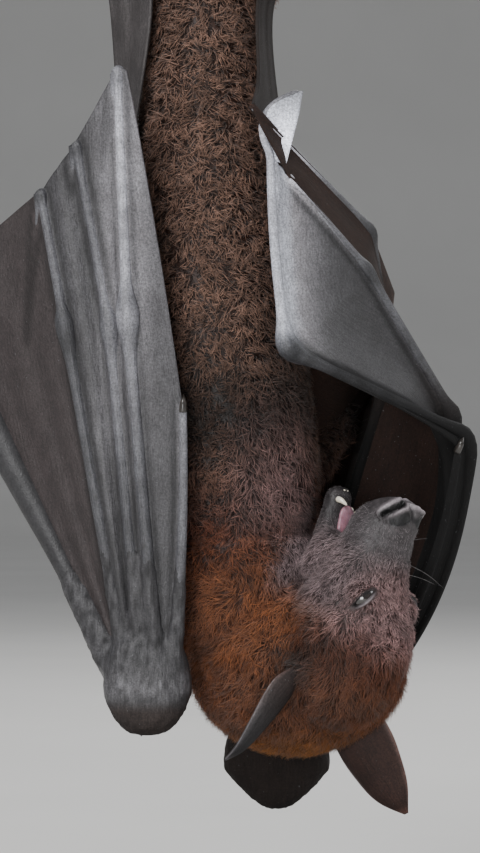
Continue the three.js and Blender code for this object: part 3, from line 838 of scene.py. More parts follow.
def foot_parts(ankle):
    bends = at(0, 0, 0), at(0, 0.5, 10), at(0, -2.5, 21), at(0, -3.2, 28)
    line = through([ankle + bend for bend in bends])
    yield limb(line, less(profile(6, 9, 12.2, 12), 0.2), less(profile(5, 4.2, 3.2, 2.6), 0.1),
               at(1, 0, 0), 28, 30)


def perch_centre(x):
    return at(0, 0, PERCH["z"]) + PERCH["bow"] * (
        1 - (2 * np.atleast_1d(x)[:, None] / PERCH["length"]) ** 2) * at(0, 0, 1) + (
        np.atleast_1d(x)[:, None] * at(1, 0, 0))


def toe_arc(x, radius, start, end):
    angle = np.radians(np.linspace(start, end, 9))
    centre = perch_centre(x)[0]
    return [centre + radius * at(0, math.cos(a), math.sin(a)) for a in angle]


def shape_face(points, normals):
    """Presses the nostrils, lips, folds and eyelids into the joined skin."""
    f, l, u = head_place(points)
    on_head = (1 - smooth(np.hypot(l, u), 33, 40)) * smooth(f, 4, 12)
    side = np.abs(l)
    push = np.zeros(len(points))
    # the groove between the nostrils and down the upper lip
    push -= 1.3 * hump(side, 1.2) * smooth(f, 55, 60) * (1 - smooth(u, 8, 12))
    # comma-shaped nostrils with raised rims
    far, along, pad = nose_marks(f, l, u)
    push -= (3.4 - 2.0 * along) * (1 - smooth(far, 0.6 - 0.2 * along, 1.5 - 0.4 * along))
    push += 0.7 * hump(far - 2.2, 0.7) * (1 - 0.4 * along)
    # the flat pad at the nostril's side, and the fold round it
    push -= 0.55 * (1 - smooth(pad, NOSE_PAD["reach"] - 0.9, NOSE_PAD["reach"]))
    push -= 0.5 * hump(pad - NOSE_PAD["reach"] - 1.6, 0.7) * (1 - smooth(far, 5, 8))
    # creases over the muzzle
    push -= 0.45 * hump(np.mod(f + 0.25 * u, 6.0) - 3.0, 0.7) * smooth(f, 30, 40) * (
        1 - smooth(f, 46, 52)) * smooth(u, -4, 4)
    # hollow in front of the eye, and the brow above it
    push -= 1.2 * hump(np.hypot(f - 35, side - 14), 6) * smooth(u, -2, 5)
    push += 0.9 * hump(np.hypot(f - 22, u - 19), 6) * hump(side - 13, 7)
    # the upper lip's edge
    push -= 0.6 * hump(u + 14.5, 0.9) * smooth(f, 40, 46) * smooth(side, 3, 6)
    moved = points + normals * (push * on_head)[:, None]
    return cut_lids(moved)


def cut_lids(points):
    moved = points.copy()
    for side in (1, -1):
        centre = eye_centre(side)
        out, along, across = lid_frame(side)
        off = points - centre
        x, y, height = off @ along, off @ across, off @ out
        reach = np.linalg.norm(off, axis=1)
        near = (reach < EYE["radius"] + 3.2) & (height > 0)
        edge = SLIT["open"] * np.clip(1 - (x / SLIT["half"]) ** 2, 0, 1)
        inside = 1 - smooth(np.abs(y), edge * 0.75, edge + 0.45)
        inside = inside * (1 - smooth(np.abs(x), SLIT["half"] - 0.6, SLIT["half"] + 0.6)) * near
        rim = hump(np.abs(y) - edge - 0.9, 0.55) * (1 - smooth(np.abs(x), 4.5, 7)) * near
        fold = hump(np.abs(y) - edge - 3.0, 0.7) * (1 - smooth(np.abs(x), 6, 9)) * near
        amount = -SLIT["depth"] * inside + 0.35 * rim - 0.4 * fold
        moved += (off / np.maximum(reach, 1e-6)[:, None]) * amount[:, None]
    return moved


def refine(mesh, inside, cuts=1):
    """Splits the faces whose centre is inside, for a finer face."""
    work = bmesh.new()
    work.from_mesh(mesh)
    centres = np.array([f.calc_center_median()[:] for f in work.faces]) / MM
    chosen = inside(centres)
    edges = {e for f, c in zip(work.faces, chosen) if c for e in f.edges}
    bmesh.ops.subdivide_edges(work, edges=list(edges), cuts=cuts, use_grid_fill=True, smooth=0.0)
    bmesh.ops.triangulate(work, faces=[f for f in work.faces if len(f.verts) > 4])
    work.to_mesh(mesh)
    work.free()


def around_face(points):
    f, l, u = head_place(points)
    return (f > 12) & (np.hypot(l, u) < 33)


def fine_parts(points):
    eyes = np.min([np.linalg.norm(points - eye_centre(s), axis=1) for s in (1, -1)], axis=0)
    f, l, u = head_place(points)
    return (eyes < 10) | ((f > 51) & (u > -12) & (np.hypot(l, u) < 25))


def make_skin():
    parts = [*trunk_parts(), *limb_parts(), *head_parts()]
    for leg in LEGS.values():
        parts += foot_parts(leg["ankle"])
    mesh = remeshed("skin", parts, VOXEL)
    refine(mesh, around_face)
    refine(mesh, fine_parts)
    points = points_of(mesh)
    normals = normals_of(mesh)
    points = shape_face(points, normals)
    set_points(mesh, points)
    paint(mesh, markings(points, 0.0) * (1.0 + 0.25 * ripple(points, 6)[:, None]))
    replaced = ["head", "lower_jaw", "neck", "trunk"]
    replaced += [f"{part}_{side}" for part in ("thigh", "shank", "upper_arm", "forearm")
                 for side in ("left", "right")]
    return piece("skin", mesh, SKIN, replaced)


# ---------------------------------------------------------------- the coat
def scatter(mesh, density):
    """Roots spread over the skin, density(points) of them to the square millimetre."""
    mesh.calc_loop_triangles()
    corners = np.empty(len(mesh.loop_triangles) * 3, np.int32)
    mesh.loop_triangles.foreach_get("vertices", corners)
    corners = corners.reshape(-1, 3)
    points, normals = points_of(mesh), normals_of(mesh)
    a, b, c = (points[corners[:, i]] for i in range(3))
    area = np.linalg.norm(np.cross(b - a, c - a), axis=1) / 2
    wanted = area * density((a + b + c) / 3)
    count = np.floor(wanted + RANDOM.random(len(wanted))).astype(int)
    chosen = np.repeat(np.arange(len(wanted)), count)
    weights = RANDOM.dirichlet((1, 1, 1), len(chosen))
    picked = corners[chosen]
    roots = np.einsum("ij,ijk->ik", weights, points[picked])
    return roots, unit(np.einsum("ij,ijk->ik", weights, normals[picked]))


def lie_of_coat(points, normals):
    """The way the hair lies: back from the face, out over the mantle, down the body."""
    where = regions(points)
    outward = unit(points - MANTLE["centre"])
    back = -FORWARD + 0.35 * outward
    down = np.broadcast_to(at(0.10, 0, -1), points.shape)
    flow = down * (1 - where["mantle"])[:, None] + unit(back) * where["mantle"][:, None]
    flow = flow * (1 - where["face"])[:, None] - FORWARD * where["face"][:, None]
    flow = flow - normals * np.sum(flow * normals, axis=1, keepdims=True)
    return unit(flow)


def hair_plan(points):
    """Length, width, lift and curl of the tuft at each root."""
    where = regions(points)
    x, y, z = points.T
    face, mantle, leg = where["face"], where["mantle"], where["leg"]
    throat = hump(z - THROAT_Z, 24) * smooth(x, -12, 14) * smooth(-y, 0, 20)
    sleek = np.maximum(throat, mantle)
    length = TUFT["length"] + 1.6 * sleek
    width = TUFT["width"] - 0.13 * mantle
    lift = TUFT["lift"] - 22 * sleek
    curl = 1.0 - 0.62 * sleek
    length = length * (1 - face) + (FACE_TUFT["length"] - 2.5 * where["muzzle"]) * face
    length = length * (0.45 + 0.55 * smooth(from_slit(points), 0.9, 2.2))
    width = width * (1 - face) + (FACE_TUFT["width"] - 0.05 * where["muzzle"]) * face
    lift = lift * (1 - face) + FACE_TUFT["lift"] * face
    curl = curl * (1 - face) + 0.3 * face
    length = length * (1 - 0.4 * leg) * (0.95 + 0.28 * ripple(points, 11))
    return length, width * (1 - 0.15 * leg), np.radians(lift), curl


def gather(roots, spacing):
    """For each root, the number of the lock it belongs to, and each lock's own root number."""
    cell = np.floor(roots / spacing).astype(int)
    _, first = np.unique(cell, axis=0, return_index=True)
    tree = kdtree.KDTree(len(first))
    for number, index in enumerate(first):
        tree.insert(roots[index], number)
    tree.balance()
    return np.array([tree.find(p)[1] for p in roots]), first


def tuft_paths(roots, normals):
    """Three points along each tuft, bent by its lie, its curl and the lock it belongs to."""
    length, width, lift, curl = hair_plan(roots)
    flow = lie_of_coat(roots, normals)
    across = np.cross(normals, flow)
    lock, lead = gather(roots, LOCK)
    swing = RANDOM.normal(0, 1, len(lead))[lock] * 0.85 * curl
    swing = swing + RANDOM.normal(0, 1, len(roots)) * (0.22 + 0.38 * curl)
    swing = swing + 1.1 * ripple(roots, 10, 4)
    flow = flow * np.cos(swing)[:, None] + across * np.sin(swing)[:, None]
    across = np.cross(normals, flow)
    length = length * RANDOM.uniform(0.75, 1.15, len(roots))
    rise = (lift + 0.35)[:, None]
    start = flow * np.cos(rise) + normals * np.sin(rise)
    low = (lift * 0.45)[:, None]
    end = flow * np.cos(low) + normals * np.sin(low)
    bend = (RANDOM.normal(0, 1, len(lead))[lock] * 0.45 * curl
            + RANDOM.normal(0, 0.22, len(roots)))[:, None]
    steps = np.array([0, 0.5, 1.0])
    reach = length[:, None]
    tips = roots + reach * (start * 0.5 + end * 0.5) + across * reach * bend
    pull = tips[lead][lock] - tips
    far = np.linalg.norm(pull, axis=1, keepdims=True)
    pull = pull * np.minimum(1, 3.0 / np.maximum(far, 1e-6))
    pull = pull * (0.42 * np.maximum(curl, 0.3))[:, None]
    paths = np.stack([roots - normals * 0.4 + reach * (start * t + (end - start) * t * t / 2)
                      + across * reach * bend * t * t + pull * t * t for t in steps], 1)
    return paths, width, across


def by_head(points):
    """Whether each point is near the head's axis and below the shoulders."""
    _, l, u = head_place(points)
    return (np.hypot(l, u) < 45) & (points[:, 2] < 205)


def unwrap(roots):
    """Where each root lies on a wrap of the skin round the body's axis or the head's."""
    f, l, u = head_place(roots)
    low = by_head(roots)
    x, y, z = roots.T
    turn = np.where(low, np.arctan2(u, l), np.arctan2(y - 4, x + 10)) / (2 * np.pi) + 0.5
    rise = np.where(low, f, z)
    rise = (rise - rise.min()) / max(np.ptp(rise), 1e-6)
    return np.stack([turn * 0.98 + 0.01, rise * 0.98 + 0.01], -1)


def tuft_mesh(name, paths, width, across, roots):
    """Closed three-sided tapering blades, with their colours and their patches on the wrap."""
    count, rings = paths.shape[:2]
    tangent = unit(np.gradient(paths, axis=1))
    side = unit(across[:, None] - tangent * np.sum(across[:, None] * tangent, -1, keepdims=True))
    top = np.cross(tangent, side)
    taper = np.array([0.9, 0.85, 0.0])
    half = width[:, None, None] / 2 * taper[None, :, None]
    corners = np.stack([paths + side * half, paths + top * half * 0.75, paths - side * half], 2)
    body = corners[:, :-1].reshape(count, -1, 3)
    points = np.concatenate([body, paths[:, -1:]], 1)
    each = points.shape[1]
    faces = [[0, 2, 1]]
    for ring in range(rings - 2):
        for i in range(3):
            j = (i + 1) % 3
            a, b = ring * 3 + i, ring * 3 + j
            faces += [[a, b, b + 3], [a, b + 3, a + 3]]
    tip, last = each - 1, (rings - 2) * 3
    faces += [[last + i, last + (i + 1) % 3, tip] for i in range(3)]
    faces = np.array(faces)
    all_faces = (faces[None] + np.arange(count)[:, None, None] * each).reshape(-1, 3)
    mesh = bpy.data.meshes.new(name)
    mesh.vertices.add(count * each)
    mesh.vertices.foreach_set("co", (points.reshape(-1, 3) * MM).astype(np.float32).ravel())
    mesh.loops.add(len(all_faces) * 3)
    mesh.loops.foreach_set("vertex_index", all_faces.astype(np.int32).ravel())
    mesh.polygons.add(len(all_faces))
    mesh.polygons.foreach_set("loop_start", np.arange(0, len(all_faces) * 3, 3, dtype=np.int32))
    mesh.update(calc_edges=True)
    along = np.append(np.repeat(np.arange(rings - 1) / (rings - 1), 3), 1.0)
    level = np.tile(along, count)
    own = np.repeat(np.arange(count), each)
    shade = RANDOM.normal(1, 0.32, count) + 0.35 * ripple(roots, 9) + 0.25 * ripple(roots, 3, 5)
    shade = shade[own]
    share = (level**1.7)[:, None]
    tone = markings(roots, 0.0)[own] * (1 - share) + markings(roots, 1.0)[own] * share
    paint(mesh, np.clip(tone * np.clip(shade, 0.4, 2.3)[:, None], 0, 1))
    spread = np.append(np.tile([-1.0, 0.0, 1.0], rings - 1), 0.0) * 0.0015
    lengthways = (along - 0.5) * 0.003
    patch = np.stack([np.tile(spread, count), np.tile(lengthways, count)], -1)
    map_points(mesh, unwrap(roots)[own] + patch, "OFBake")
    return mesh


def bare(points):
    """0 where no hair grows: eyelids, nose, lips, arms and feet."""
    f, l, u = head_place(points)
    head = np.hypot(l, u) < 45
    grown = smooth(from_slit(points), 0.9, 1.15)
    grown = grown * np.where(head, 1 - 0.5 * smooth(f, 44, 50) - 0.5 * smooth(f, 53, 58), 1)
    grown = grown * (1 - smooth(points[:, 2], 505, 530))
    return grown * (1 - on_arms(points))


def coat_density(points):
    where = regions(points)
    body = TUFTS["body"] + TUFTS["more_on_mantle"] * where["mantle"]
    return (body * (1 - where["face"]) + TUFTS["face"] * where["face"]) * bare(points)


COAT_PIECES = 19000  # the most tufts in one piece, which keeps it under 200,000 triangles


def make_coat(skin):
    roots, normals = scatter(skin.data, coat_density)
    paths, width, across = tuft_paths(roots, normals)
    order = np.argsort(roots[:, 2])
    front, head = head_place(roots)[0] >= 10, by_head(roots)
    groups = {"mantle": head & ~front, "face": head & front, "body": ~head}
    for name, belongs in groups.items():
        members = order[belongs[order]]
        parts = max(1, math.ceil(len(members) / COAT_PIECES))
        for number, some in enumerate(np.array_split(members, parts)):
            title = f"coat_{name}_{number}"
            mesh = tuft_mesh(title, paths[some], width[some], across[some], roots[some])
            piece(title, mesh, COAT_HAIR)


# ---------------------------------------------------------------- eyes, mouth and ears
def make_eyes():
    material = eye_material()
    for side, sign in (("left", 1), ("right", -1)):
        mesh = mesh_of("eye", *ellipsoid(eye_centre(sign), at(1, 1, 1) * EYE["radius"], 40, 28))
        piece(f"eyeball_{side}", mesh, material, [f"eye_{side}"])


def make_mouth():
    line = through([in_head(27, 0, -16.5), in_head(38, 0, -20.4), in_head(50, 0, -25.4)])
    mesh = mesh_of("tongue", *limb(line, profile(5.6, 5.2, 3.9), profile(1.9, 1.9, 1.6), LEFT))
    piece("mouth_tongue", mesh, tongue_material(), ["tongue"])
    teeth = []
    for side in (1, -1):
        back, top = (0, -22.9) if side > 0 else (2.6, -25.2)  # the far canine hardly shows
        canine = through([in_head(50.9 - back, side * 4.2, -28.6),
                          in_head(51.2 - back, side * 4.2, -26),
                          in_head(50.6 - back, side * 3.8, top)])
        teeth.append(tube(canine, (1.3, 1.1, 0.4) if side > 0 else (0.8, 0.7, 0.3), LEFT, 14, 14))
        incisor = chain([in_head(54.2, side * 1.0, -30.4), in_head(55.0, side * 1.0, -28.9)])
        teeth.append(tube(incisor, (0.4, 0.4, 0.3), LEFT, 10, 8, 0.3))
        upper = through([in_head(50.4, side * 5.6, -14.5), in_head(49.9, side * 5.3, -17.2)])
        teeth.append(tube(upper, (0.6, 0.5, 0.3), LEFT, 12, 12))
    piece("mouth_teeth", mesh_of("teeth", *joined(*teeth)), tooth_material())


EARS = {
    "left": {"root": in_head(-12.5, 20, 2), "tip": at(-6, -46, 101.5), "open": at(-0.75, 0.3, 0.6),
             "wide": 18},
    "right": {"root": in_head(-24, -15, -2), "tip": at(66.5, -3, 76), "open": at(0.35, 0.9, 0.1),
              "wide": 23},
}
EAR = {"thickness": 1.4, "cup": 1.15}


def ear_patch(root, tip, opening, wide):
    axis = tip - root
    face = unit(opening - axis * (opening @ axis) / (axis @ axis))
    across = unit(np.cross(axis, face))
    width = profile(0.35, 0.9, 1.02, 0.9, 0.64, 0.06)
    curl = profile(1.35, 1.2, 1, 0.8, 0.6, 0.4)

    def patch(u, v):
        cup = EAR["cup"] * curl(u)
        turn = (2 * v - 1) * cup
        radius = wide * width(u) / (2 * np.sin(np.minimum(cup, 1.5)))
        return (root + axis * u[:, None] + across * (np.sin(turn) * radius)[:, None]
                + face * ((0.65 - np.cos(turn)) * radius)[:, None])

    return patch


def make_ears():
    for side, ear in EARS.items():
        patch = ear_patch(ear["root"], ear["tip"], ear["open"], ear["wide"])

        def thick(u, v):
            rim = np.minimum(np.minimum(v, 1 - v) * 9, (1 - u) * 8)
            return EAR["thickness"] / 2 * (0.55 + 0.45 * smooth(rim, 0.2, 1) + 0.25 * hump(rim, 0.35))

        points, faces, place = sheet(patch, 56, 40, thick)
        mesh = mesh_of(f"ear_{side}", points, faces)
        u, v = place.T
        edge = np.minimum(np.minimum(v, 1 - v) * 9, (1 - u) * 9)
        warm = smooth(1 - u, 0.2, 0.9)
        cold, hot = (at(0.030, 0.028, 0.029), at(0.028, 0.018, 0.016)) if side == "left" else (
            at(0.042, 0.020, 0.015), at(0.042, 0.020, 0.015))
        colour = cold * (1 - warm[:, None]) + hot * warm[:, None]
        # painted highlight along the ear's rim
        colour = colour * (1 + 2.6 * hump(edge, 0.42))[:, None]
        paint(mesh, colour)
        map_points(mesh, np.stack([v * 0.02, u * 0.045], -1), "Grain")
        piece(f"earflap_{side}", mesh, WING, [f"ear_{side}"])


def make_whiskers():
    """A few stiff hairs on the muzzle: place in the head's frame, direction and length."""
    hairs = []
    for f, l, u, forward, out, up, size in (
        (40, -10.5, 5, -0.15, -1.0, 0.2, 24), (36, -11, 6, 0.1, -1.0, 0.5, 14),
        (48, 9, 2, 0.5, 1.0, 0.2, 10), (46, 9.5, -2, 0.4, 1.0, -0.2, 9),
        (48, -9, 2, 0.5, -1.0, 0.2, 10), (52, 7.5, -6, 0.7, 0.8, -0.5, 8),
    ):
        root = in_head(f, l, u)
        way = unit(turned(at(forward, out, up)))
        line = through([root - way * 3, root + way * size * 0.5,
                        root + way * size + turned(at(-0.08, 0, 0)) * size])
        hairs.append(tube(line, (0.11, 0.09, 0.04), at(0.3, 0.5, 0.8), 6, 14))
    piece("whiskers", mesh_of("whiskers", *joined(*hairs)), whisker_material())


# ---------------------------------------------------------------- the wings
WINGS = {
    "left": {
        "palm": {"middle": at(-36, -40, 127), "half": at(17.8, 12, 17.5), "taper": 0.28},
        "knuckles": (2.5, 1.0),
        "thumb": [at(-38, -30, 119), at(-42, -4, 117), at(-42, 16, 112), at(-40, 22, 104)],
        "fingers": {
            2: ([at(-26, -45, 136), at(-22, -50, 237)], [at(1.5, 0, 0)]),
            3: ([at(-32, -46, 136), at(-43.5, -50, 273), at(-47.5, -42, 370), at(-58, -27, 240)], []),
            4: ([at(-38, -44, 136), at(-50.5, -45, 270), at(-64, -37, 341), at(-69, -24, 264)], []),
            5: ([at(-44, -41, 136), at(-68, -40, 270), at(-78, -32, 322), at(-81, -18, 264)], []),
        },
        "front": [at(-26, -45, 136), at(-22, -50, 237), at(-44, -44, 368)],
        "front_bow": [at(1.5, 0, 0), at(1, -2, 0)],
        "sags": [at(0, 0, 0)] * 3,
        "turn": 5,
        "rear": [at(-46, 12, 538), at(-56, 2, 470), at(-46, -6, 438), at(-39, -13, 418),
                 at(-35, -17, 400), at(-42, -15, 345), at(-66, -12, 312), at(-90, 4, 300),
                 at(-128, 22, 290)],
        "root": [at(-50, 20, 538), at(-64, 26, 470), at(-58, 15, 438), at(-55, 6, 418),
                 at(-52, 4, 400), at(-48, 10, 345), at(-46, 14, 250), at(-60, 17, 226),
                 at(-128, 22, 286)],
    },
    "right": {
        "palm": {"middle": at(15, 38, 90), "half": at(22.5, 12, 17.5), "taper": 0.58},
        "knuckles": (1.5, 2.7),
        "thumb": [at(14, 46, 88), at(12, 66, 86), at(9, 82, 90), at(8, 87, 97)],
        "fingers": {
            2: ([at(31, 30, 99), at(87, -5, 221)], [at(10, 0, -6)]),
            3: ([at(29, 35, 99), at(92, 2, 226), at(18, -52, 260), at(12, -37, 336), at(23.5, -33, 361)],
                [at(15, 0, -9), at(0, 0, 0), at(-1.5, 0, 0), at(-8, 0, 3)]),
            4: ([at(22, 40, 99), at(86, 10, 234), at(50, -20, 292), at(19, -38, 327)],
                [at(14, 3, -8)]),
            5: ([at(15, 43, 100), at(62, 32, 255), at(52, -5, 308), at(4, -46, 354)], []),
        },
        "front": [at(31, 30, 99), at(87, -5, 221), at(86, -6, 226)],
        "front_bow": [at(10, 0, -6)],
        "sags": [at(3, 2, -2), at(0, 5, 1), at(0, 0, 0)],
        "turn": 6,
        "rear": [at(18, 12, 538), at(28, 2, 470), at(18, -6, 438), at(11, -13, 418), at(7, -17, 398),
                 at(7, -30, 366), at(5, -45, 355), at(52, -5, 308), at(64, 60, 286), at(63, 80, 270)],
        "root": [at(21, 20, 538), at(36, 26, 470), at(29, 14, 438), at(22, 5, 418), at(13, 3, 398),
                 at(17, 10, 345), at(21, 14, 320), at(26, 14, 260), at(28, 20, 214), at(60, 76, 255)],
        "leaf": [[at(11.5, -37, 334), at(8.8, -36.3, 345), at(11.5, -35.2, 354), at(23.4, -33, 361)],
                 [at(18, -38, 332), at(20.5, -36.3, 342), at(23, -34.5, 352), at(24.5, -32.6, 361)]],
    },
}


def between(line_a, line_b, sags=((0, 0, 0),), wave=0.0, folds=3):
    """A skin from one line to another, hollowed by its sags and rippled lengthways by wave."""
    sags = np.asarray(sags, float)

    def patch(u, v):
        k = np.minimum((u * len(sags)).astype(int), len(sags) - 1)
        t = (u * len(sags) - k)[:, None]
        a, b = line_a(u), line_b(u)
        w = v[:, None]
        hollow = sags[k] * 16 * t * (1 - t) * w * (1 - w)
        depth = wave * np.sin(v * folds * 2 * np.pi + 2.2 * u) * 4 * v * (1 - v)
        return a * (1 - w) + b * w + hollow + np.array([0, 1, 0]) * depth[:, None]

    return patch


def eased(line, reach=0.02):
    """The line with its corners rounded."""
    def place(t):
        return np.mean([line(np.asarray(t) + reach * k) for k in (-1, -0.5, 0, 0.5, 1)], axis=0)
    return place


def wing_skin(line_a, line_b, rows, columns, ridge_a=1.5, ridge_b=1.5, soft=0.0, **shape):
    """A web of the wing, thickened at the bones on its two sides; soft rounds its corners."""
    sharp = between(line_a, line_b, **shape)
    round_ = between(eased(line_a, 0.12), eased(line_b, 0.12), **shape)

    def patch(u, v):
        share = soft * np.minimum(1, 9 * v * (1 - v)) * smooth(np.minimum(u, 1 - u), 0, 0.12)
        share = share[:, None]
        return sharp(u, v) * (1 - share) + round_(u, v) * share

    def thick(u, v):
        span = np.linalg.norm(line_a(u) - line_b(u), axis=1)
        near_a, near_b = v * span, (1 - v) * span
        flare = ridge_a * np.exp(-near_a / 1.7) + ridge_b * np.exp(-near_b / 1.7)
        return MEMBRANE / 2 + np.minimum(flare, span * 0.25)

    points, faces, place = sheet(patch, rows, columns, thick)
    u, v = place.T
    span = np.linalg.norm(line_a(u) - line_b(u), axis=1)
    grain = np.stack([v * span * MM, u * 0.24], -1)
    return points, faces, grain


def knobbly(base, knobs):
    """A bone's radius: base(t) with a swelling of the given height and width at each t."""
    def radius(t):
        value = base(t)
        for place, height, width in knobs:
            value = value + height * hump(t - place, width)
        return value
    return radius


def finger_tube(joints, bows, knuckles=(1.9, 1.0)):
    lengths = len(joints) - 1
    knobs = [(k / lengths, knuckles[k - 1], 0.028) for k in range(1, min(lengths, 3))]
    radius = knobbly(profile(2.6, 2.3, 2.0, 1.7, 1.5 if lengths == 1 else 1.0), knobs)
    rows = 50 * lengths
    points, faces = limb(eased(chain(joints, bows), 0.012), radius, radius, at(0, 1, 0.01), 14, rows,
                         close=0.02)
    along = np.repeat(np.linspace(0, 1, rows - 1), 14)
    around = np.tile(np.linspace(0, 1, 14), rows - 1)
    grain = np.stack([around * 0.015, along * 0.12 * lengths], -1)
    return points, faces, np.vstack([grain, grain[:1], grain[-1:]])


def palm_parts(side):
    """The wrist with the first part of each bone that leaves it, before they are joined."""
    wing, arm = WINGS[side], ARMS[side]
    middle, half = wing["palm"]["middle"], wing["palm"]["half"]
    points, faces = ellipsoid(at(0, 0, 0), at(1, 1, 1), 48, 36)
    squared = np.sign(points) * np.abs(points) ** 0.72
    down = np.maximum(-squared[:, 2], 0)
    squared[:, 0] *= 1 - wing["palm"]["taper"] * down
    rise = np.maximum(squared[:, 2:], 0)
    squared[:, :2] *= 1 - 0.3 * rise[:, :1] ** 2
    squared[:, 2:] += 0.7 * rise
    yield middle + squared * (half - 0.6), faces
    for joints, bows in wing["fingers"].values():
        line = chain(joints[:2], bows[:1])
        yield limb(lambda t, line=line: line(np.asarray(t) * 0.5), profile(4.2, 3.4, 2.6, 1.7),
                   profile(3.8, 3.2, 2.6, 1.7), at(0, 1, 0.01), 16, 30, close=0.04)
    reach = arm["wrist"] + 0.3 * (arm["elbow"] - arm["wrist"])
    yield tube(chain([arm["wrist"], reach]), (7, 6, 4.6), at(1, 0, 0), 20, 24)
    yield tube(through(wing["thumb"][:3]), (5, 3.6, 3.0, 2.4), at(1, 0, 0), 20, 40)


def palm_skin(side):
    mesh = remeshed(f"palm_{side}", palm_parts(side), PALM_VOXEL)
    points = points_of(mesh)
    wrinkles = ripple(points * at(1, 1, 0.35), 2.0) * 0.5 + ripple(points * at(1, 1, 0.8), 1.0, 2) * 0.2
    points = points + normals_of(mesh) * wrinkles[:, None]
    faces = [list(polygon.vertices) for polygon in mesh.polygons]
    bpy.data.meshes.remove(mesh)
    return points, faces, np.stack([points[:, 0] * MM, points[:, 2] * MM], -1)


def claw(points, thick=1.5):
    return limb(through(points), profile(thick, thick * 0.8, 0.15), profile(thick * 1.1, thick, 0.15),
                at(1, 0, 0.1), 14, 24, close=0.1)


def wing_parts(side):
    wing, arm = WINGS[side], ARMS[side]

    def finger(n, last=4):
        joints, bows = wing["fingers"][n]
        return chain(joints[:last], bows)

    wrist, elbow, shoulder = arm["wrist"], arm["elbow"], arm["shoulder"]
    forearm = chain([wrist, wrist + 0.7 * (elbow - wrist), elbow])
    front = chain(wing["front"], wing["front_bow"])
    turn = wing["turn"]
    folded = side == "left"
    yield "front", wing_skin(front, finger(3, 3), 120, 14, 0.5, 1.2)
    yield "web", wing_skin(finger(3), finger(4), 150, 26, 1.2, 1.2, sags=wing["sags"],
                           soft=0.0 if folded else 0.9, wave=0.3, folds=2)
    yield "inner", wing_skin(finger(4), finger(5), 140, 24, 1.2, 1.2,
                             wave=1.6 if folded else 0.4, folds=1)
    yield "arm", wing_skin(finger(5, 3), forearm, 100, 30, 1.2, 2.0, wave=0.7)
    yield "arm", wing_skin(chain([wrist, elbow]), chain([shoulder, elbow]), 80, 24, 2.0, 2.0)
    yield "leg", wing_skin(through(wing["rear"][:turn + 1]), through(wing["root"][:turn + 1]),
                           100, 24, 0.2, 0.3, wave=0.9, folds=2)
    yield "arm", wing_skin(chain(wing["rear"][turn:]), chain(wing["root"][turn:]), 90, 30, 0.2, 0.3)
    if "leaf" in wing:
        inner, outer = (through(points) for points in wing["leaf"])
        yield "leaf", wing_skin(inner, outer, 40, 12, 0.3, 0.3)
    for n, (joints, bows) in wing["fingers"].items():
        yield "bone", finger_tube(joints, bows, wing["knuckles"] if n == 3 else (1.9, 1.0))
    yield "palm", palm_skin(side)


def from_bones(side, points):
    """Distance from the nearest finger bone's middle line."""
    steps = np.linspace(0, 1, 160)
    nearest = np.full(len(points), 99.0)
    for joints, bows in WINGS[side]["fingers"].values():
        line = eased(chain(joints, bows), 0.012)(steps)
        for start in range(0, len(points), 4000):
            some = slice(start, start + 4000)
            gap = np.linalg.norm(points[some, None] - line[None], axis=2).min(axis=1)
            nearest[some] = np.minimum(nearest[some], gap)
    return nearest


BALL = at(18, -52, 260)                   # the right third finger's middle knuckle, painted dark as shade
LIT_EDGE = BALL, at(12, -37, 336)        # the bone onward from it, with a painted highlight along it
SHADED_EDGE = at(92, 2, 226), at(20, -52, 259)  # the bone before it, along the fold, painted dark as shade
# how strong the brown painted shade is inside the half-open wing for each kind of web
INSIDE_SHADE = {"inner": at(1.0, 0.62, 0.45), "arm": at(1.4, 0.85, 0.6), "leg": 0.8}


def palm_colours(side, colour, points):
    """A dusty band across the wrist, and its dark brown end."""
    level = points[:, 2] - WINGS[side]["palm"]["middle"][2]
    fuzz = hump(level - 3, 5) * (0.5 + 0.7 * ripple(points * at(1, 1, 0.4), 1.4))
    end = (1 - smooth(level, -8, -2))[:, None]
    colour = colour * (0.56 + 1.3 * np.maximum(fuzz, 0))[:, None]
    colour = colour * (1 + 0.7 * ripple(points * at(1, 1, 0.4), 1.8, 4))[:, None]
    return colour * (1 - end) + WING_BROWN * 0.8 * end


def half_open(kind, colour, points):
    """The right wing: brown painted shade inside and low down, a painted highlight along the fold that
    faces the light, and painted shade on the middle knuckle and along the bone before it.
    """
    _, y, z = points.T
    inside = kind in INSIDE_SHADE
    # painted shade: brown inside the wing, low down and towards the back
    in_shade = np.maximum(1 - smooth(z, 216, 244), smooth(y, -8, 12))
    in_shade = np.maximum(in_shade, float(inside))[:, None]
    colour = colour * (1 - in_shade) + WING_BROWN * INSIDE_SHADE.get(kind, 0.8) * in_shade
    if not inside:
        # painted light: brighter round the fold that faces the light, with a painted highlight along it
        far = along_line(points, *LIT_EDGE)[1]
        lit = (1 - smooth(far, 4, 9))[:, None]
        colour = colour * (0.62 + 4.2 * (hump(far, 15)[:, None] * (1 - in_shade)))
        colour = colour * (1 - 0.8 * lit) + WING_HIGHLIGHT * 1.6 * 0.8 * lit
        # painted shade along the wing's low edge
        colour = colour * (1 - 0.93 * (1 - smooth(z, 222, 246)))[:, None]
    else:
        # painted shade: the inside webs darker still
        colour = colour * 0.62
    # painted shade on the middle knuckle and along the bone before it
    knuckle_shade = 1 - smooth(gone_from(points, BALL), 5, 8)
    colour = colour * (1 - 0.75 * knuckle_shade)[:, None]
    edge = 1 - smooth(along_line(points, *SHADED_EDGE)[1], 3, 6)
    return colour * (1 - 0.75 * edge)[:, None]


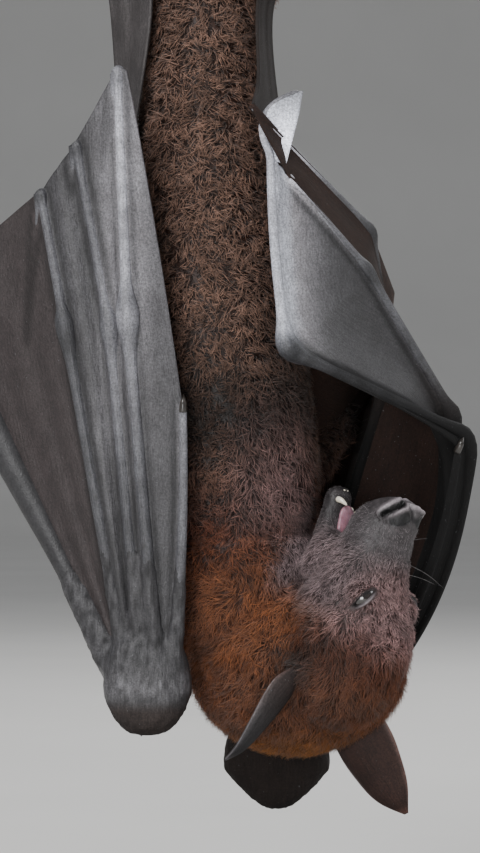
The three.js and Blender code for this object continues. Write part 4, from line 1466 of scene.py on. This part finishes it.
def wing_colours(side, kind, points):
    """Charcoal skin with a painted highlight on the bones and painted shade in the creases beside them,
    brown painted shade inside the half-open wing, and painted light over the left wing's upper front.
    """
    x, _, z = points.T
    tint = {"arm": at(0.56, 0.45, 0.42), "leg": at(0.66, 0.60, 0.56)}.get(kind, 1.0)
    colour = np.broadcast_to(WING_SKIN * tint, points.shape)
    if kind == "bone":
        # painted highlight: the bones lighter
        colour = colour * 0.8 + WING_HIGHLIGHT * 0.2
    if kind == "leaf":
        # painted highlight: the leaf strip at the right third finger's tip
        colour = np.broadcast_to(WING_HIGHLIGHT * 1.7, points.shape)
    elif kind != "palm":
        near = from_bones(side, points)
        # painted highlight on each bone's ridge and painted shade in the crease beside it
        ridge_highlight, crease_shade = 1 - smooth(near, 1.5, 2.5), hump(near - 3.6, 1.5)
        colour = colour * (1 + 0.8 * ridge_highlight - 0.55 * crease_shade)[:, None]
    if side == "right":
        if kind == "palm":
            # the right wrist dark brown as painted shade inside the wing
            return np.broadcast_to(WING_BROWN * at(0.5, 0.46, 0.42), points.shape)
        return half_open(kind, colour, points)
    if kind == "palm":
        return palm_colours(side, colour, points)
    if kind in ("front", "web", "bone", "inner"):
        # painted light: the upper front of the folded left wing lighter where the light from above falls
        # on it
        lit = smooth(z, 185, 290) * smooth(x, -60, -46) * (1 - 0.78 * smooth(x, -42, -31))
        colour = colour * (0.84 + 2.3 * lit)[:, None]
        colour = colour * (1 + 0.25 * ripple(points * at(1, 1, 0.4), 14, 5))[:, None]
    return colour


# the CAD nodes that each wing's mesh takes the place of
WING_NODES = ["wrist", "thumb", "finger_2", "finger_3", "finger_4", "finger_5", "front_web",
              "web_3_4", "web_4_5", "arm_web", "shoulder_web", "leg_web", "flank_web"]


def make_wings():
    for side, wing in WINGS.items():
        kinds, shapes = zip(*wing_parts(side))
        mesh = mesh_of(f"wing_{side}", *joined(*(shape[:2] for shape in shapes)))
        paint(mesh, np.vstack([wing_colours(side, k, shape[0]) for k, shape in zip(kinds, shapes)]))
        grains = [shape[2] + at(0.05 * n, 0.31 * n) for n, shape in enumerate(shapes)]
        map_points(mesh, np.vstack(grains), "Grain")
        names = WING_NODES + (["tip_web"] if "leaf" in wing else [])
        piece(f"wing_{side}", mesh, WING, [f"{name}_{side}" for name in names])
        thumb, (start, tip) = wing["thumb"], wing["fingers"][2][0]
        onward = unit(tip - start)
        hook = [tip - onward * 2, tip + onward * 2.5, tip + onward * 5.5 + at(0, 1.5, 0)]
        curve = [thumb[2], (thumb[2] + thumb[3]) / 2 + at(0, 3, 0), thumb[3]]
        piece(f"claws_wing_{side}", mesh_of("claws", *joined(claw(curve, 2.3), claw(hook, 1.6))),
              CLAW)


# ---------------------------------------------------------------- feet, perch and stand
def make_feet():
    for side, leg in LEGS.items():
        toes, claws = [], []
        orbit = PERCH["radius"] + TOE["radius"] + TOE["gap"]
        for number in range(TOE["count"]):
            x = leg["ankle"][0] + (number - 2) * TOE["spread"]
            arc = toe_arc(x, orbit, TOE["start"], 128)
            radius = knobbly(profile(2.2, 2.1, 2.0, 2.0), [(0.45, 0.25, 0.08), (0.85, 0.3, 0.08)])
            toes.append(limb(through(arc), radius, radius, at(1, 0, 0), 16, 40, close=0.06))
            hook = toe_arc(x, orbit - 0.1, 122, TOE["end"])
            claws.append(limb(through(hook), profile(1.9, 1.5, 1.0, 0.25), profile(2.1, 1.9, 1.3, 0.3),
                              at(1, 0, 0), 14, 30, close=0.08))
        points, faces = joined(*toes)
        mesh = mesh_of(f"toes_{side}", points, faces)
        paint(mesh, np.broadcast_to(at(0.060, 0.052, 0.050), points.shape))
        piece(f"toes_{side}", mesh, SKIN, [f"foot_{side}"])
        piece(f"claws_foot_{side}", mesh_of("claws", *joined(*claws)), CLAW)


def make_perch():
    swell = profile(11.4, 12, 12, 12, 11.6, 12.6)
    rows, around = 220, 56
    s = np.linspace(0, 1, rows)
    angle = np.linspace(0, 2 * np.pi, around, endpoint=False)
    centre = perch_centre((s - 0.5) * PERCH["length"])
    ring = np.stack([0 * angle, np.cos(angle), np.sin(angle)], -1)
    points = (centre[:, None] + ring[None] * swell(s)[:, None, None]).reshape(-1, 3)
    way = np.tile(ring, (rows, 1))
    rough = ripple(points * at(0.25, 1, 1), 5) * 0.32 + ripple(points * at(0.5, 1, 1), 2, 3) * 0.16
    rough = rough - 0.25
    ends = np.repeat(smooth(np.minimum(s, 1 - s), 0, 0.006), around)
    points = points + way * (rough - 0.7 * (1 - ends))[:, None]
    mesh = mesh_of("perch", points, grid_faces(rows, around, closed=True))
    piece("perch_bark", mesh, bark_material(), ["perch"])
    ends = []
    for row in (0, rows - 1):
        rim = points[row * around:(row + 1) * around]
        middle = rim.mean(0)
        disc = np.vstack([middle + (rim - middle) * k for k in (1.0, 0.7, 0.35)] + [middle])
        disc[around:, 0] += 0.15 if row else -0.15
        some = grid_faces(3, around, closed=True)
        some += [[2 * around + i, 2 * around + (i + 1) % around, 3 * around] for i in range(around)]
        ends.append((disc, some if row == 0 else [f[::-1] for f in some]))
    piece("perch_ends", mesh_of("perch_ends", *joined(*ends)), wood_material())


COLLARS = (15, 20, 9, 16, 0.2), (557, 561, 7.4, 16, 0.2)  # round each rod: from, to, radius, mesh


def make_stand():
    low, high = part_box("stand_base")
    size = (high - low) / MM
    mesh = bpy.data.meshes.new("board")
    work = bmesh.new()
    bmesh.ops.create_cube(work, size=1)
    for v in work.verts:
        v.co = Vector((v.co.x * size.x, v.co.y * size.y, v.co.z * size.z)) * MM
        v.co += (low + high) / 2
    upright = [e for e in work.edges if abs(e.verts[0].co.z - e.verts[1].co.z) > 1e-4]
    bmesh.ops.bevel(work, geom=upright, offset=BEVEL["corner"], segments=12, profile=0.5, affect="EDGES")
    top = [e for e in work.edges if min(v.co.z for v in e.verts) > high.z - 1e-5]
    bmesh.ops.bevel(work, geom=top, offset=BEVEL["edge"], segments=4, profile=0.5, affect="EDGES")
    work.to_mesh(mesh)
    work.free()
    made = piece("stand_board", mesh, base_material(), ["stand_base"])
    made.data.polygons.foreach_set("use_smooth", np.zeros(len(mesh.polygons), bool))
    material = rod_material()
    for side in ("left", "right"):
        low, high = (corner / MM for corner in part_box(f"stand_rod_{side}"))
        x, radius = (low.x + high.x) / 2, (high.x - low.x) / 2
        parts = []
        for bottom, top, wide, rows, close in ((low.z, high.z, radius, 12, 0.004), *COLLARS):
            line = chain([at(x, 0, bottom), at(x, 0, top)])
            parts.append(tube(line, (wide, wide), at(1, 0, 0), 40, rows, close))
        piece(f"stand_post_{side}", mesh_of("post", *joined(*parts)), material,
              [f"stand_rod_{side}"])


# ---------------------------------------------------------------- the whole scene
make_camera()
make_lights()
make_floor()
skin = make_skin()
make_coat(skin)
make_eyes()
make_mouth()
make_ears()
make_whiskers()
make_wings()
make_feet()
make_perch()
make_stand()
